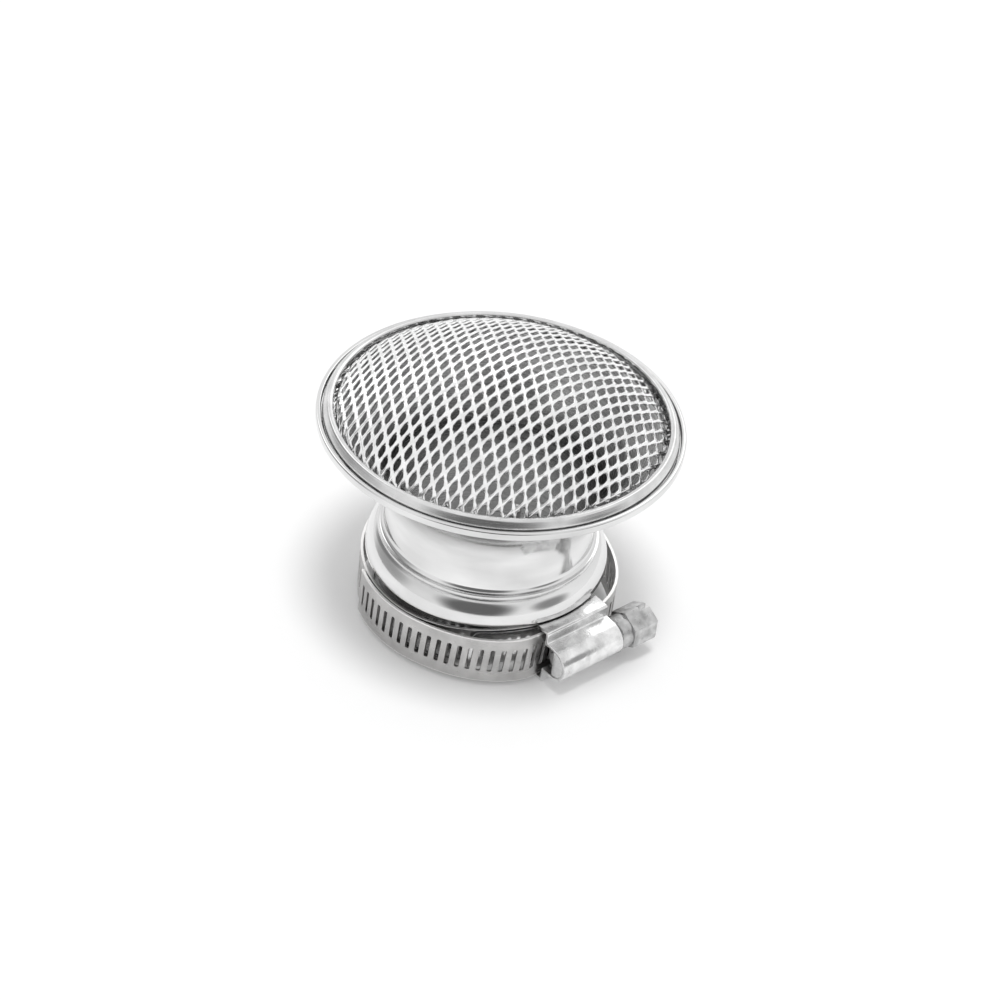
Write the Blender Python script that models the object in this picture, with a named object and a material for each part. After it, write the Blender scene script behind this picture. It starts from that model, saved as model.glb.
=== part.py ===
"""Carburettor air filter: an intake trumpet with a domed screen of expanded metal and a worm-drive clamp.

Metres, +Z up. The origin is the centre of the spigot's foot, on the surface that the part stands on.
The trumpet's axis is Z, and the clamp's screw lies across the front right of the spigot.
"""
import math

import bmesh
import bpy
from mathutils import Vector
from mathutils.geometry import delaunay_2d_cdt

MM = 0.001

# Clearance between two pieces that touch, and how far a cutter runs past what it cuts
SEAT_GAP = 0.3 * MM
CUT_OVERRUN = 1.0 * MM

# Clamp strip and the sheet of its housing, which set the height of the clamp
STRIP_WIDTH = 9.0 * MM
STRIP_THICKNESS = 0.5 * MM
HOUSING_WALL = 0.6 * MM
CLAMP_HEIGHT = STRIP_WIDTH / 2 + SEAT_GAP + HOUSING_WALL

# Spigot, whose inside is the socket for the carburettor
SPIGOT_RADIUS = 19.0 * MM
SPIGOT_WALL = 1.4 * MM
SOCKET_RADIUS = SPIGOT_RADIUS - SPIGOT_WALL
SOCKET_DEPTH = 9.2 * MM
FOOT_CHAMFER = 0.4 * MM
SLIT_WIDTH = 1.6 * MM
SLIT_END_MARGIN = 1.2 * MM
SLIT_HEIGHT = SOCKET_DEPTH - SLIT_END_MARGIN
SLIT_COUNT = 3
SLIT_FIRST_ANGLE = math.radians(75.0)

# Flange just above the clamp, with its sloping shoulder and the step ring on it
FLANGE_WIDTH = 1.8 * MM
FLANGE_RADIUS = SPIGOT_RADIUS + FLANGE_WIDTH
FLANGE_UNDERSIDE = 2 * CLAMP_HEIGHT + SEAT_GAP
FLANGE_EDGE_HEIGHT = 0.8 * MM
FLANGE_EDGE_CHAMFER = 0.2 * MM
SHOULDER_RISE = 3.6 * MM
SHOULDER_TOP = FLANGE_UNDERSIDE + FLANGE_EDGE_HEIGHT + SHOULDER_RISE
STEP_RING_HEIGHT = 0.7 * MM
STEP_RING_TOP = SHOULDER_TOP + STEP_RING_HEIGHT
STEP_GROOVE_DEPTH = 0.2 * MM

# Neck, narrower than the spigot, and the cove at its foot
NECK_STEP = 1.15 * MM
NECK_RADIUS = SPIGOT_RADIUS - NECK_STEP
NECK_WALL = 1.5 * MM
NECK_BORE_RADIUS = NECK_RADIUS - NECK_WALL
COVE_HEIGHT = 1.2 * MM
COVE_TOP = STEP_RING_TOP + COVE_HEIGHT
COVE_RUN_OUT = 0.85 * MM
NECK_HEIGHT = 3.6 * MM
BELL_START = COVE_TOP + NECK_HEIGHT

# Bell, from the neck out to the underside of the lip
LIP_RADIUS = 30.75 * MM
LIP_OVERHANG = 1.75 * MM
LIP_WIDTH = 3.75 * MM
BELL_RISE = 16.3 * MM
BELL_TOP = BELL_START + BELL_RISE
BELL_OUTER_RADIUS = LIP_RADIUS - LIP_OVERHANG
BELL_INNER_RADIUS = LIP_RADIUS - LIP_WIDTH
BELL_OUTER_HANDLE_RADIUS_SHARE = 0.33
BELL_OUTER_HANDLE_RISE_SHARES = (0.43, 0.77)
BELL_INNER_HANDLE_RADIUS_SHARE = 0.37
BELL_INNER_HANDLE_RISE_SHARES = (0.46, 0.79)
BELL_STEPS = 5

# Lip of the bell: a counterbore for the screen inside a rounded bead
LIP_FLOOR_THICKNESS = 0.9 * MM
COUNTERBORE_FLOOR = BELL_TOP + LIP_FLOOR_THICKNESS
COUNTERBORE_DEPTH = 1.0 * MM
LIP_BEAD_WIDTH = 0.8 * MM
LIP_BEAD_TOP = COUNTERBORE_FLOOR + COUNTERBORE_DEPTH
LIP_BEAD_ROUND = 0.3 * MM
LIP_BEAD_DROP = 0.5 * MM
LIP_UNDERSIDE = BELL_TOP + LIP_BEAD_DROP

# Crimp ring, which stands in the counterbore and closes over the edge of the screen
RING_OUTER_RADIUS = LIP_RADIUS - LIP_BEAD_WIDTH - SEAT_GAP
RING_WIDTH = 1.75 * MM
RING_INNER_RADIUS = RING_OUTER_RADIUS - RING_WIDTH
RING_STAND = 2.3 * MM
RING_TOP = COUNTERBORE_FLOOR + RING_STAND
RING_TOP_FALL = 0.3 * MM
RING_SKIRT = 0.6 * MM
RING_EDGE_ROUND = 0.25 * MM

# Screen of expanded metal: a flat edge under the ring, a short upright step and a spherical dome
SCREEN_THICKNESS = 0.5 * MM
SCREEN_FLANGE_RADIUS = RING_OUTER_RADIUS - RING_SKIRT - SEAT_GAP
DOME_EDGE_INSET = 0.8 * MM
DOME_EDGE_RADIUS = RING_INNER_RADIUS - DOME_EDGE_INSET
DOME_EDGE_RISE = 1.35 * MM
DOME_RISE = 8.9 * MM
DOME_BEND_RUN = 0.25 * MM
OPENING_MARGIN = 0.3 * MM
OPENING_CENTRE_MARGIN = 0.8 * MM
MESH_LONG_PITCH = 4.39 * MM
MESH_SHORT_PITCH = 2.416 * MM
MESH_LONG_ANGLE = math.radians(74.1)
MESH_SHORT_ANGLE = math.radians(-14.2)
MESH_PHASE_LONG_SHARE = 0.5315
MESH_PHASE_SHORT_SHARE = 0.7933
STRAND_WIDTH = 0.82 * MM
FORMING_DRAW_SHARE = 0.0765

# Clamp strip: a loose lap round the spigot, flattened towards the screw, and a free tail outside it
LOOP_SLACK = 2.6 * MM
LOOP_RADIUS = SPIGOT_RADIUS + LOOP_SLACK
LOOP_SHIFT = 0.5 * MM
LOOP_SHIFT_ANGLE = math.radians(45.0)
LOOP_FLAT_DEPTH = 1.9 * MM
LOOP_FLAT_ANGLE = math.radians(-62.0)
LOOP_FLAT_HALF_WIDTH = math.radians(65.0)
STRIP_START_ANGLE = math.radians(-33.0)
STRIP_END_ANGLE = math.radians(-158.0)
ENTRY_RISE_START = math.radians(27.0)
ENTRY_RISE_END = math.radians(-25.0)
TAIL_SPRING = 1.0 * MM
TAIL_RADIUS = LOOP_RADIUS + TAIL_SPRING
TAIL_END_SPRING = 0.25 * MM
TAIL_END_RADIUS = LOOP_RADIUS + TAIL_END_SPRING
TAIL_LEAVE_START = math.radians(-50.0)
TAIL_LEAVE_END = math.radians(-70.0)
TAIL_SETTLE_START = math.radians(-75.0)
TAIL_SETTLE_END = math.radians(-115.0)
SLOT_PITCH = 1.832 * MM
SLOT_WIDTH = 0.76 * MM
SLOT_MARGIN = 2.15 * MM
SLOT_LENGTH = STRIP_WIDTH - 2 * SLOT_MARGIN
SLOT_LEAN = math.radians(4.5)
STRIP_PLAIN_START = 20.0 * MM
STRIP_PLAIN_END = 0.82 * MM
STRIP_EDGE_STEP = 3.66 * MM

# Clamp housing: a saddle with a tongue, two side walls and a cover over the worm
SADDLE_THICKNESS = 0.5 * MM
SADDLE_START_ANGLE = math.radians(-27.6)
SADDLE_END_ANGLE = math.radians(-92.0)
SADDLE_STEPS = 16
TONGUE_INSET = 0.2 * MM
TONGUE_WIDTH = STRIP_WIDTH - 2 * TONGUE_INSET
TONGUE_CORNER = 1.6 * MM
HOUSING_FOOT_CLEARANCE = 0.6 * MM
HOUSING_INNER_REACH = SPIGOT_RADIUS + HOUSING_FOOT_CLEARANCE
HOUSING_TAIL_END = -5.2 * MM
HOUSING_HEAD_END = 8.0 * MM
COVER_SHOULDER_SLOPE = 0.35 * MM
COVER_STEPS = 10
TIP_WALL = 0.6 * MM

# Clamp screw, lying across the spigot
SCREW_ANGLE = math.radians(-46.0)
WORM_RADIUS = 2.3 * MM
WORM_THREAD_DEPTH = 0.55 * MM
WORM_STEPS = 12
WORM_ROWS_PER_TURN = 4
SHANK_RADIUS = 1.5 * MM
COLLAR_RADIUS = 3.0 * MM
COLLAR_LENGTH = 2.9 * MM
HEAD_ACROSS_FLATS = 6.3 * MM
HEAD_LENGTH = 4.8 * MM
HEAD_CHAMFER = 0.5 * MM
HEAD_SLOT_WIDTH = 1.1 * MM
HEAD_SLOT_DEPTH = 2.4 * MM

ROUND_STEPS = 32


def clear_scene():
    """Remove every object of the scene that the file opened with."""
    for old in list(bpy.data.objects):
        bpy.data.objects.remove(old, do_unlink=True)


def finish_material(name, colour, metallic, roughness):
    """Make a Principled material of one colour."""
    material = bpy.data.materials.new(name)
    material.use_nodes = True
    shader = material.node_tree.nodes["Principled BSDF"]
    shader.inputs["Base Color"].default_value = (*colour, 1.0)
    shader.inputs["Metallic"].default_value = metallic
    shader.inputs["Roughness"].default_value = roughness
    return material


def object_from(name, shape, material, sharp_angle=30.0):
    """Turn a bmesh into a smooth shaded object of the scene, with its faces pointing out."""
    bmesh.ops.recalc_face_normals(shape, faces=shape.faces)
    mesh = bpy.data.meshes.new(name)
    shape.to_mesh(mesh)
    shape.free()
    mesh.shade_smooth()
    mesh.set_sharp_from_angle(angle=math.radians(sharp_angle))
    mesh.materials.append(material)
    made = bpy.data.objects.new(name, mesh)
    bpy.context.scene.collection.objects.link(made)
    return made


def cutter_from(name, shape):
    """Make a hidden object that only cuts others."""
    made = object_from(name, shape, bpy.data.materials[0])
    made.hide_render = True
    made.display_type = 'WIRE'
    return made


def join_or_cut(target, other, operation):
    """Apply a Boolean with another object, and remove that object."""
    boolean = target.modifiers.new(operation, 'BOOLEAN')
    boolean.operation = operation
    boolean.solver = 'EXACT'
    boolean.object = other
    evaluated = target.evaluated_get(bpy.context.evaluated_depsgraph_get())
    shaped = bpy.data.meshes.new_from_object(evaluated)
    target.modifiers.clear()
    old = target.data
    target.data = shaped
    bpy.data.meshes.remove(old)
    bpy.data.objects.remove(other, do_unlink=True)


def turned(profile, steps=ROUND_STEPS):
    """Spin a closed outline of (radius, height) points about Z."""
    shape = bmesh.new()
    points = [shape.verts.new((radius, 0.0, height)) for radius, height in profile]
    edges = [shape.edges.new((points[i - 1], points[i])) for i in range(len(points))]
    bmesh.ops.spin(shape, geom=points + edges, cent=(0, 0, 0), axis=(0, 0, 1),
                   angle=math.tau, steps=steps, use_merge=True, use_duplicate=False)
    return shape


def bezier(start, handle_a, handle_b, end, steps):
    """Points of a cubic curve between two (radius, height) points."""
    points = []
    for i in range(steps + 1):
        t = i / steps
        weights = ((1 - t) ** 3, 3 * t * (1 - t) ** 2, 3 * t * t * (1 - t), t ** 3)
        corners = (start, handle_a, handle_b, end)
        points.append(tuple(sum(w * c[k] for w, c in zip(weights, corners)) for k in (0, 1)))
    return points


def quarter(centre, run, rise, from_angle, to_angle, steps):
    """Points of an elliptical arc about a (radius, height) centre."""
    points = []
    for i in range(steps + 1):
        angle = math.radians(from_angle + (to_angle - from_angle) * i / steps)
        points.append((centre[0] + run * math.cos(angle), centre[1] + rise * math.sin(angle)))
    return points


def bell_curve(start_radius, end_radius, end_height, radius_share, rise_shares):
    """One side of the bell's wall, from the neck up to the lip."""
    rise = end_height - BELL_START
    flare = end_radius - start_radius
    return bezier((start_radius, BELL_START),
                  (start_radius, BELL_START + rise * rise_shares[0]),
                  (start_radius + flare * radius_share, BELL_START + rise * rise_shares[1]),
                  (end_radius, end_height), BELL_STEPS)


def trumpet_profile():
    """Closed outline of the trumpet's wall: up the bore, over the lip and down the outside."""
    inside = [(SOCKET_RADIUS + FOOT_CHAMFER, 0.0),
              (SOCKET_RADIUS, FOOT_CHAMFER),
              (SOCKET_RADIUS, SOCKET_DEPTH),
              (NECK_BORE_RADIUS, SOCKET_DEPTH)]
    inside += bell_curve(NECK_BORE_RADIUS, BELL_INNER_RADIUS, COUNTERBORE_FLOOR,
                         BELL_INNER_HANDLE_RADIUS_SHARE, BELL_INNER_HANDLE_RISE_SHARES)
    bead_inner = LIP_RADIUS - LIP_BEAD_WIDTH
    bead_edge = LIP_RADIUS - LIP_BEAD_ROUND
    lip = [(bead_inner, COUNTERBORE_FLOOR),
           (bead_inner, LIP_BEAD_TOP - LIP_BEAD_ROUND / 2)]
    lip += [(bead_inner + LIP_BEAD_ROUND / 2, LIP_BEAD_TOP)]
    lip += quarter((bead_edge, LIP_BEAD_TOP - LIP_BEAD_ROUND), LIP_BEAD_ROUND, LIP_BEAD_ROUND, 90, 0, 1)
    lip += quarter((bead_edge, LIP_UNDERSIDE + LIP_BEAD_ROUND), LIP_BEAD_ROUND, LIP_BEAD_ROUND, 0, -90, 1)
    outside = bell_curve(NECK_RADIUS, BELL_OUTER_RADIUS, BELL_TOP,
                         BELL_OUTER_HANDLE_RADIUS_SHARE, BELL_OUTER_HANDLE_RISE_SHARES)
    outside.reverse()
    foot = quarter((NECK_RADIUS + COVE_RUN_OUT, COVE_TOP), COVE_RUN_OUT, COVE_HEIGHT, 180, 270, 2)
    step_radius = NECK_RADIUS + NECK_STEP
    foot += [(step_radius, STEP_RING_TOP - STEP_RING_HEIGHT / 4),
             (step_radius, SHOULDER_TOP + STEP_RING_HEIGHT / 4),
             (step_radius - STEP_GROOVE_DEPTH, SHOULDER_TOP)]
    edge_top = FLANGE_UNDERSIDE + FLANGE_EDGE_HEIGHT
    foot += quarter((SPIGOT_RADIUS, edge_top), FLANGE_WIDTH, SHOULDER_RISE, 80, 0, 3)
    foot += [(FLANGE_RADIUS, FLANGE_UNDERSIDE + FLANGE_EDGE_CHAMFER),
             (FLANGE_RADIUS - FLANGE_EDGE_CHAMFER, FLANGE_UNDERSIDE),
             (SPIGOT_RADIUS, FLANGE_UNDERSIDE),
             (SPIGOT_RADIUS, FOOT_CHAMFER),
             (SPIGOT_RADIUS - FOOT_CHAMFER, 0.0)]
    return inside + lip + outside + foot


def box_shape(size, centre, turn=0.0):
    """A block of a given size, turned about its own Z before it is placed."""
    shape = bmesh.new()
    bmesh.ops.create_cube(shape, size=1.0)
    bmesh.ops.scale(shape, vec=size, verts=shape.verts)
    bmesh.ops.translate(shape, vec=centre, verts=shape.verts)
    cosine, sine = math.cos(turn), math.sin(turn)
    for vert in shape.verts:
        x, y, z = vert.co
        vert.co = (x * cosine - y * sine, x * sine + y * cosine, z)
    return shape


def make_trumpet(material):
    """Turn the trumpet and saw the slits that let the clamp close its spigot."""
    trumpet = object_from("trumpet", turned(trumpet_profile()), material)
    for i in range(SLIT_COUNT):
        angle = SLIT_FIRST_ANGLE + math.tau * i / SLIT_COUNT
        size = (SPIGOT_WALL + 2 * CUT_OVERRUN, SLIT_WIDTH, SLIT_HEIGHT + CUT_OVERRUN)
        centre = (SOCKET_RADIUS + SPIGOT_WALL / 2, 0.0, (SLIT_HEIGHT - CUT_OVERRUN) / 2)
        saw = cutter_from("slit_saw", box_shape(size, centre, angle))
        join_or_cut(trumpet, saw, 'DIFFERENCE')
    return trumpet


def screen_height(radius):
    """Height of the middle of the screen's sheet: a spherical dome, then a flat edge."""
    flange = COUNTERBORE_FLOOR + SEAT_GAP + SCREEN_THICKNESS / 2
    if radius > DOME_EDGE_RADIUS + DOME_BEND_RUN / 2:
        return flange
    sphere = (DOME_EDGE_RADIUS ** 2 + DOME_RISE ** 2) / (2 * DOME_RISE)
    centre = flange + DOME_EDGE_RISE + DOME_RISE - sphere
    return centre + math.sqrt(sphere ** 2 - radius ** 2)


def mesh_vectors():
    """The flat sheet's long and short pitch as plan vectors."""
    long_way = Vector((math.cos(MESH_LONG_ANGLE), math.sin(MESH_LONG_ANGLE))) * MESH_LONG_PITCH
    short_way = Vector((math.cos(MESH_SHORT_ANGLE), math.sin(MESH_SHORT_ANGLE))) * MESH_SHORT_PITCH
    return long_way, short_way


def drawn_in(flat):
    """Where a point of the flat sheet lies in plan once the sheet is pressed into its dome."""
    return flat * (1 - FORMING_DRAW_SHARE * flat.length_squared / LIP_RADIUS ** 2)


def screen_openings():
    """Plan outlines of the diamond openings, pulled in to the solid edge where they reach it."""
    long_way, short_way = mesh_vectors()
    half_long, half_short = long_way / 2, short_way / 2
    side = (half_long - half_short).length
    area = abs(half_long.x * half_short.y - half_long.y * half_short.x)
    open_share = 1 - STRAND_WIDTH / 2 * side / area
    origin = long_way * MESH_PHASE_LONG_SHARE + short_way * MESH_PHASE_SHORT_SHARE
    reach = int(SCREEN_FLANGE_RADIUS / MESH_SHORT_PITCH) + 2
    reach_limit = DOME_EDGE_RADIUS - OPENING_MARGIN
    outlines = []
    for row in range(-2 * reach, 2 * reach + 1):
        for column in range(-reach, reach + 1):
            stagger = (row % 2) / 2
            middle = origin + long_way * (column + stagger) + short_way * (row / 2)
            if drawn_in(middle).length > DOME_EDGE_RADIUS - OPENING_CENTRE_MARGIN:
                continue
            outline = []
            for corner in (half_long, half_short, -half_long, -half_short):
                point = drawn_in(middle + corner * open_share)
                if point.length > reach_limit:
                    point = point * (reach_limit / point.length)
                outline.append(point)
            outlines.append(outline)
    return outlines


def ring_points(radius, steps=ROUND_STEPS):
    """Plan points of a circle about the axis."""
    return [Vector((radius * math.cos(math.tau * i / steps), radius * math.sin(math.tau * i / steps)))
            for i in range(steps)]


def filled_sheet(outlines, rings):
    """Triangles of a plan area inside its outer ring and outside its openings."""
    points, edges = [], []
    for loop in rings + outlines:
        first = len(points)
        points += loop
        edges += [(first + i, first + (i + 1) % len(loop)) for i in range(len(loop))]
    made = delaunay_2d_cdt(points, edges, [], 0, MM / 1000, True)
    return made[0], made[2]


def plan_key(point):
    """A plan point rounded to a thousandth of a millimetre, so that it can be looked up."""
    return round(point.x / MM, 3), round(point.y / MM, 3)


def punched_sheet(openings, rings, place):
    """Fill a plan area but for its openings, and put each plan point where place says."""
    points, faces = filled_sheet(openings, rings)
    opening_of = {}
    for number, outline in enumerate(openings):
        for corner in outline:
            opening_of[plan_key(corner)] = number
    keys = [opening_of.get(plan_key(point), -1) for point in points]
    shape = bmesh.new()
    verts = [shape.verts.new(place(point)) for point in points]
    for face in faces:
        owners = {keys[i] for i in face}
        if len(owners) == 1 and -1 not in owners:
            continue
        shape.faces.new([verts[i] for i in face])
    return shape


def make_mesh_dome(material):
    """Press the expanded sheet into its dome and give it its thickness."""
    rings = [ring_points(SCREEN_FLANGE_RADIUS), ring_points(DOME_EDGE_RADIUS + DOME_BEND_RUN),
             ring_points(DOME_EDGE_RADIUS)]
    shape = punched_sheet(screen_openings(), rings,
                          lambda point: (point.x, point.y, screen_height(point.length)))
    dome = object_from("mesh_dome", shape, material, 40.0)
    wall = dome.modifiers.new("sheet", 'SOLIDIFY')
    wall.thickness = SCREEN_THICKNESS
    wall.offset = 0.0
    wall.use_even_offset = True
    wall.use_rim = True
    return dome


def make_rim_ring(material):
    """Turn the ring that closes over the screen's edge and stands in the lip's counterbore."""
    foot = COUNTERBORE_FLOOR + SEAT_GAP
    under_leaf = foot + SCREEN_THICKNESS + SEAT_GAP
    skirt_inner = RING_OUTER_RADIUS - RING_SKIRT
    profile = [(RING_INNER_RADIUS, under_leaf + RING_EDGE_ROUND),
               (RING_INNER_RADIUS, RING_TOP - RING_EDGE_ROUND),
               (RING_INNER_RADIUS + RING_EDGE_ROUND, RING_TOP),
               (RING_INNER_RADIUS + 2 * RING_EDGE_ROUND, RING_TOP),
               (RING_OUTER_RADIUS - RING_EDGE_ROUND, RING_TOP - RING_TOP_FALL),
               (RING_OUTER_RADIUS, RING_TOP - RING_TOP_FALL - RING_EDGE_ROUND),
               (RING_OUTER_RADIUS, foot),
               (skirt_inner, foot),
               (skirt_inner, under_leaf),
               (RING_INNER_RADIUS + RING_EDGE_ROUND, under_leaf)]
    return object_from("rim_ring", turned(profile), material)


def smooth_step(value):
    """Ease from 0 to 1."""
    value = min(max(value, 0.0), 1.0)
    return value * value * (3 - 2 * value)


def loop_radius(angle):
    """Middle of the strip's inner lap: a loose circle, off centre and flattened towards the screw."""
    radius = LOOP_RADIUS + LOOP_SHIFT * math.cos(angle - LOOP_SHIFT_ANGLE)
    away = abs((angle - LOOP_FLAT_ANGLE + math.pi) % math.tau - math.pi)
    if away >= LOOP_FLAT_HALF_WIDTH:
        return radius
    return radius - LOOP_FLAT_DEPTH / 2 * (1 + math.cos(math.pi * away / LOOP_FLAT_HALF_WIDTH))


def layer_rise():
    """How far the strip lies outside the inner lap where it passes over the saddle."""
    return STRIP_THICKNESS + SADDLE_THICKNESS + 2 * SEAT_GAP


def strip_radius(travel):
    """Middle of the strip after it has gone a given angle clockwise from its fixed end."""
    angle = STRIP_START_ANGLE - travel
    second_lap = angle + math.tau
    rise = (second_lap - ENTRY_RISE_START) / (ENTRY_RISE_END - ENTRY_RISE_START)
    radius = loop_radius(angle) + layer_rise() * smooth_step(rise)
    leave = (second_lap - TAIL_LEAVE_START) / (TAIL_LEAVE_END - TAIL_LEAVE_START)
    settle = (second_lap - TAIL_SETTLE_START) / (TAIL_SETTLE_END - TAIL_SETTLE_START)
    tail = TAIL_RADIUS + (TAIL_END_RADIUS - TAIL_RADIUS) * smooth_step(settle)
    return radius + (tail - radius) * smooth_step(leave)


def strip_path():
    """The strip's middle line as (distance, point, outward normal), closely spaced."""
    total = math.tau + STRIP_START_ANGLE - STRIP_END_ANGLE
    count = int(math.degrees(total))
    plan = []
    for i in range(count + 1):
        travel = total * i / count
        radius = strip_radius(travel)
        angle = STRIP_START_ANGLE - travel
        plan.append(Vector((radius * math.cos(angle), radius * math.sin(angle))))
    return measured_path(plan)


def measured_path(plan):
    """Add the distance along a clockwise plan curve and its outward normal to each point."""
    path, distance = [], 0.0
    for i, point in enumerate(plan):
        if i:
            distance += (point - plan[i - 1]).length
        ahead = plan[min(i + 1, len(plan) - 1)] - plan[max(i - 1, 0)]
        ahead.normalize()
        path.append((distance, point, Vector((-ahead.y, ahead.x))))
    return path


def on_path(path, distance):
    """Point of a measured path at a distance along it."""
    low, high = 0, len(path) - 1
    while high - low > 1:
        middle = (low + high) // 2
        if path[middle][0] > distance:
            high = middle
        else:
            low = middle
    span = path[high][0] - path[low][0]
    share = (distance - path[low][0]) / span
    return path[low][1].lerp(path[high][1], share)


def strip_slots(length):
    """Flat outlines of the slanted slots, as (distance, height) points."""
    slots = []
    lean = math.tan(SLOT_LEAN) * SLOT_LENGTH / 2
    count = int((length - STRIP_PLAIN_START - STRIP_PLAIN_END) / SLOT_PITCH)
    for i in range(count):
        middle = length - STRIP_PLAIN_END - SLOT_PITCH * (i + 0.5)
        half_width, half_length = SLOT_WIDTH / 2, SLOT_LENGTH / 2
        slots.append([Vector((middle - half_width - lean, half_length)),
                      Vector((middle - half_width + lean, -half_length)),
                      Vector((middle + half_width + lean, -half_length)),
                      Vector((middle + half_width - lean, half_length))])
    return slots


def make_clamp_band(material):
    """Punch the strip flat, then bend it along its path."""
    path = strip_path()
    length = path[-1][0]
    half = STRIP_WIDTH / 2
    stations = round(length / STRIP_EDGE_STEP)
    along = [length * i / stations for i in range(stations + 1)]
    outline = [Vector((s, half)) for s in along] + [Vector((s, -half)) for s in reversed(along)]

    def bent(point):
        """Where a point of the flat strip lies on its path."""
        plan = on_path(path, point.x)
        return plan.x, plan.y, CLAMP_HEIGHT + point.y

    shape = punched_sheet(strip_slots(length), [outline], bent)
    band = object_from("clamp_band", shape, material, 40.0)
    wall = band.modifiers.new("strip", 'SOLIDIFY')
    wall.thickness = STRIP_THICKNESS
    wall.offset = 0.0
    wall.use_even_offset = True
    return band


def saddle_plate():
    """The curved plate between the strip's two layers, wide in the housing and narrow as a tongue."""
    middle_offset = (STRIP_THICKNESS + SADDLE_THICKNESS) / 2 + SEAT_GAP
    wide = STRIP_WIDTH / 2 + SEAT_GAP + HOUSING_WALL / 2
    narrow = TONGUE_WIDTH / 2
    housing_left = SCREW_ANGLE + math.atan2(HOUSING_TAIL_END, LOOP_RADIUS)
    shape = bmesh.new()
    rows = []
    for i in range(SADDLE_STEPS + 1):
        angle = SADDLE_START_ANGLE + (SADDLE_END_ANGLE - SADDLE_START_ANGLE) * i / SADDLE_STEPS
        half = wide if angle > housing_left else narrow
        if i == SADDLE_STEPS:
            half = narrow - TONGUE_CORNER
        inner = loop_radius(angle) + middle_offset - SADDLE_THICKNESS / 2
        outer = inner + SADDLE_THICKNESS
        rows.append([shape.verts.new((radius * math.cos(angle), radius * math.sin(angle),
                                      CLAMP_HEIGHT + side))
                     for radius, side in ((inner, -half), (outer, -half), (outer, half), (inner, half))])
    shape.faces.new(rows[0])
    shape.faces.new(rows[-1])
    for near, far in zip(rows, rows[1:]):
        for k in range(4):
            shape.faces.new((near[k], near[k - 1], far[k - 1], far[k]))
    return shape


def strip_outer_reach():
    """How far the strip's outer face reaches towards the screw, measured square to the screw."""
    reaches = []
    path = strip_path()
    outward = Vector((math.cos(SCREW_ANGLE), math.sin(SCREW_ANGLE)))
    along = Vector((-outward.y, outward.x))
    for _, point, normal in path:
        if HOUSING_TAIL_END < point.dot(along) < HOUSING_HEAD_END and point.dot(outward) > 0:
            reaches.append((point + normal * (STRIP_THICKNESS / 2)).dot(outward))
    return max(reaches)


def screw_reach():
    """Distance of the screw's axis from the trumpet's axis."""
    return strip_outer_reach() + SEAT_GAP + WORM_RADIUS


def across_screw(along, outward, up):
    """A point given along the screw, out from the trumpet's axis and up from the clamp's middle."""
    cosine, sine = math.cos(SCREW_ANGLE), math.sin(SCREW_ANGLE)
    return Vector((outward * cosine - along * sine, outward * sine + along * cosine, CLAMP_HEIGHT + up))


def cover_section():
    """Section of the housing across the screw, as (up, outward) points: walls, shoulders and round top."""
    reach = screw_reach()
    inner_round = WORM_RADIUS + SEAT_GAP
    outer_round = inner_round + HOUSING_WALL
    inner_half = STRIP_WIDTH / 2 + SEAT_GAP
    outer_half = inner_half + HOUSING_WALL
    shoulder_inner = strip_outer_reach() + SEAT_GAP
    shoulder_outer = shoulder_inner + HOUSING_WALL
    outer, inner = [], []
    outer.append((outer_half, HOUSING_INNER_REACH))
    outer.append((outer_half, shoulder_outer - COVER_SHOULDER_SLOPE))
    outer.append((outer_half - COVER_SHOULDER_SLOPE, shoulder_outer))
    for i in range(COVER_STEPS + 1):
        angle = math.pi * i / COVER_STEPS
        outer.append((outer_round * math.cos(angle), reach + outer_round * math.sin(angle)))
        inner.append((inner_round * math.cos(angle), reach + inner_round * math.sin(angle)))
    outer.append((-outer_half + COVER_SHOULDER_SLOPE, shoulder_outer))
    outer.append((-outer_half, shoulder_outer - COVER_SHOULDER_SLOPE))
    outer.append((-outer_half, HOUSING_INNER_REACH))
    inner.insert(0, (inner_round, shoulder_inner))
    inner.insert(0, (inner_half, shoulder_inner))
    inner.insert(0, (inner_half, HOUSING_INNER_REACH))
    inner.append((-inner_round, shoulder_inner))
    inner.append((-inner_half, shoulder_inner))
    inner.append((-inner_half, HOUSING_INNER_REACH))
    return outer + inner[::-1]


def extruded_section(section, start, end):
    """A section across the screw, drawn out along it."""
    shape = bmesh.new()
    face = shape.faces.new([shape.verts.new(across_screw(start, out, up)) for up, out in section])
    drawn = bmesh.ops.extrude_face_region(shape, geom=[face])
    moved = [item for item in drawn["geom"] if isinstance(item, bmesh.types.BMVert)]
    bmesh.ops.translate(shape, vec=across_screw(end, 0, 0) - across_screw(start, 0, 0), verts=moved)
    return shape


def end_wall_section(hole_radius):
    """Half round wall that closes one end of the cover, with a hole for the screw's shank or none."""
    reach = screw_reach()
    radius = WORM_RADIUS + SEAT_GAP + HOUSING_WALL / 2
    foot = strip_outer_reach() + SEAT_GAP + HOUSING_WALL / 2
    section = [(radius, foot)]
    for i in range(COVER_STEPS + 1):
        angle = math.pi * i / COVER_STEPS
        section.append((radius * math.cos(angle), reach + radius * math.sin(angle)))
    section.append((-radius, foot))
    if hole_radius:
        section.append((-hole_radius, foot))
        for i in range(COVER_STEPS + 1):
            angle = math.pi * (1 - i / COVER_STEPS)
            section.append((hole_radius * math.cos(angle), reach + hole_radius * math.sin(angle)))
        section.append((hole_radius, foot))
    return section


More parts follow.
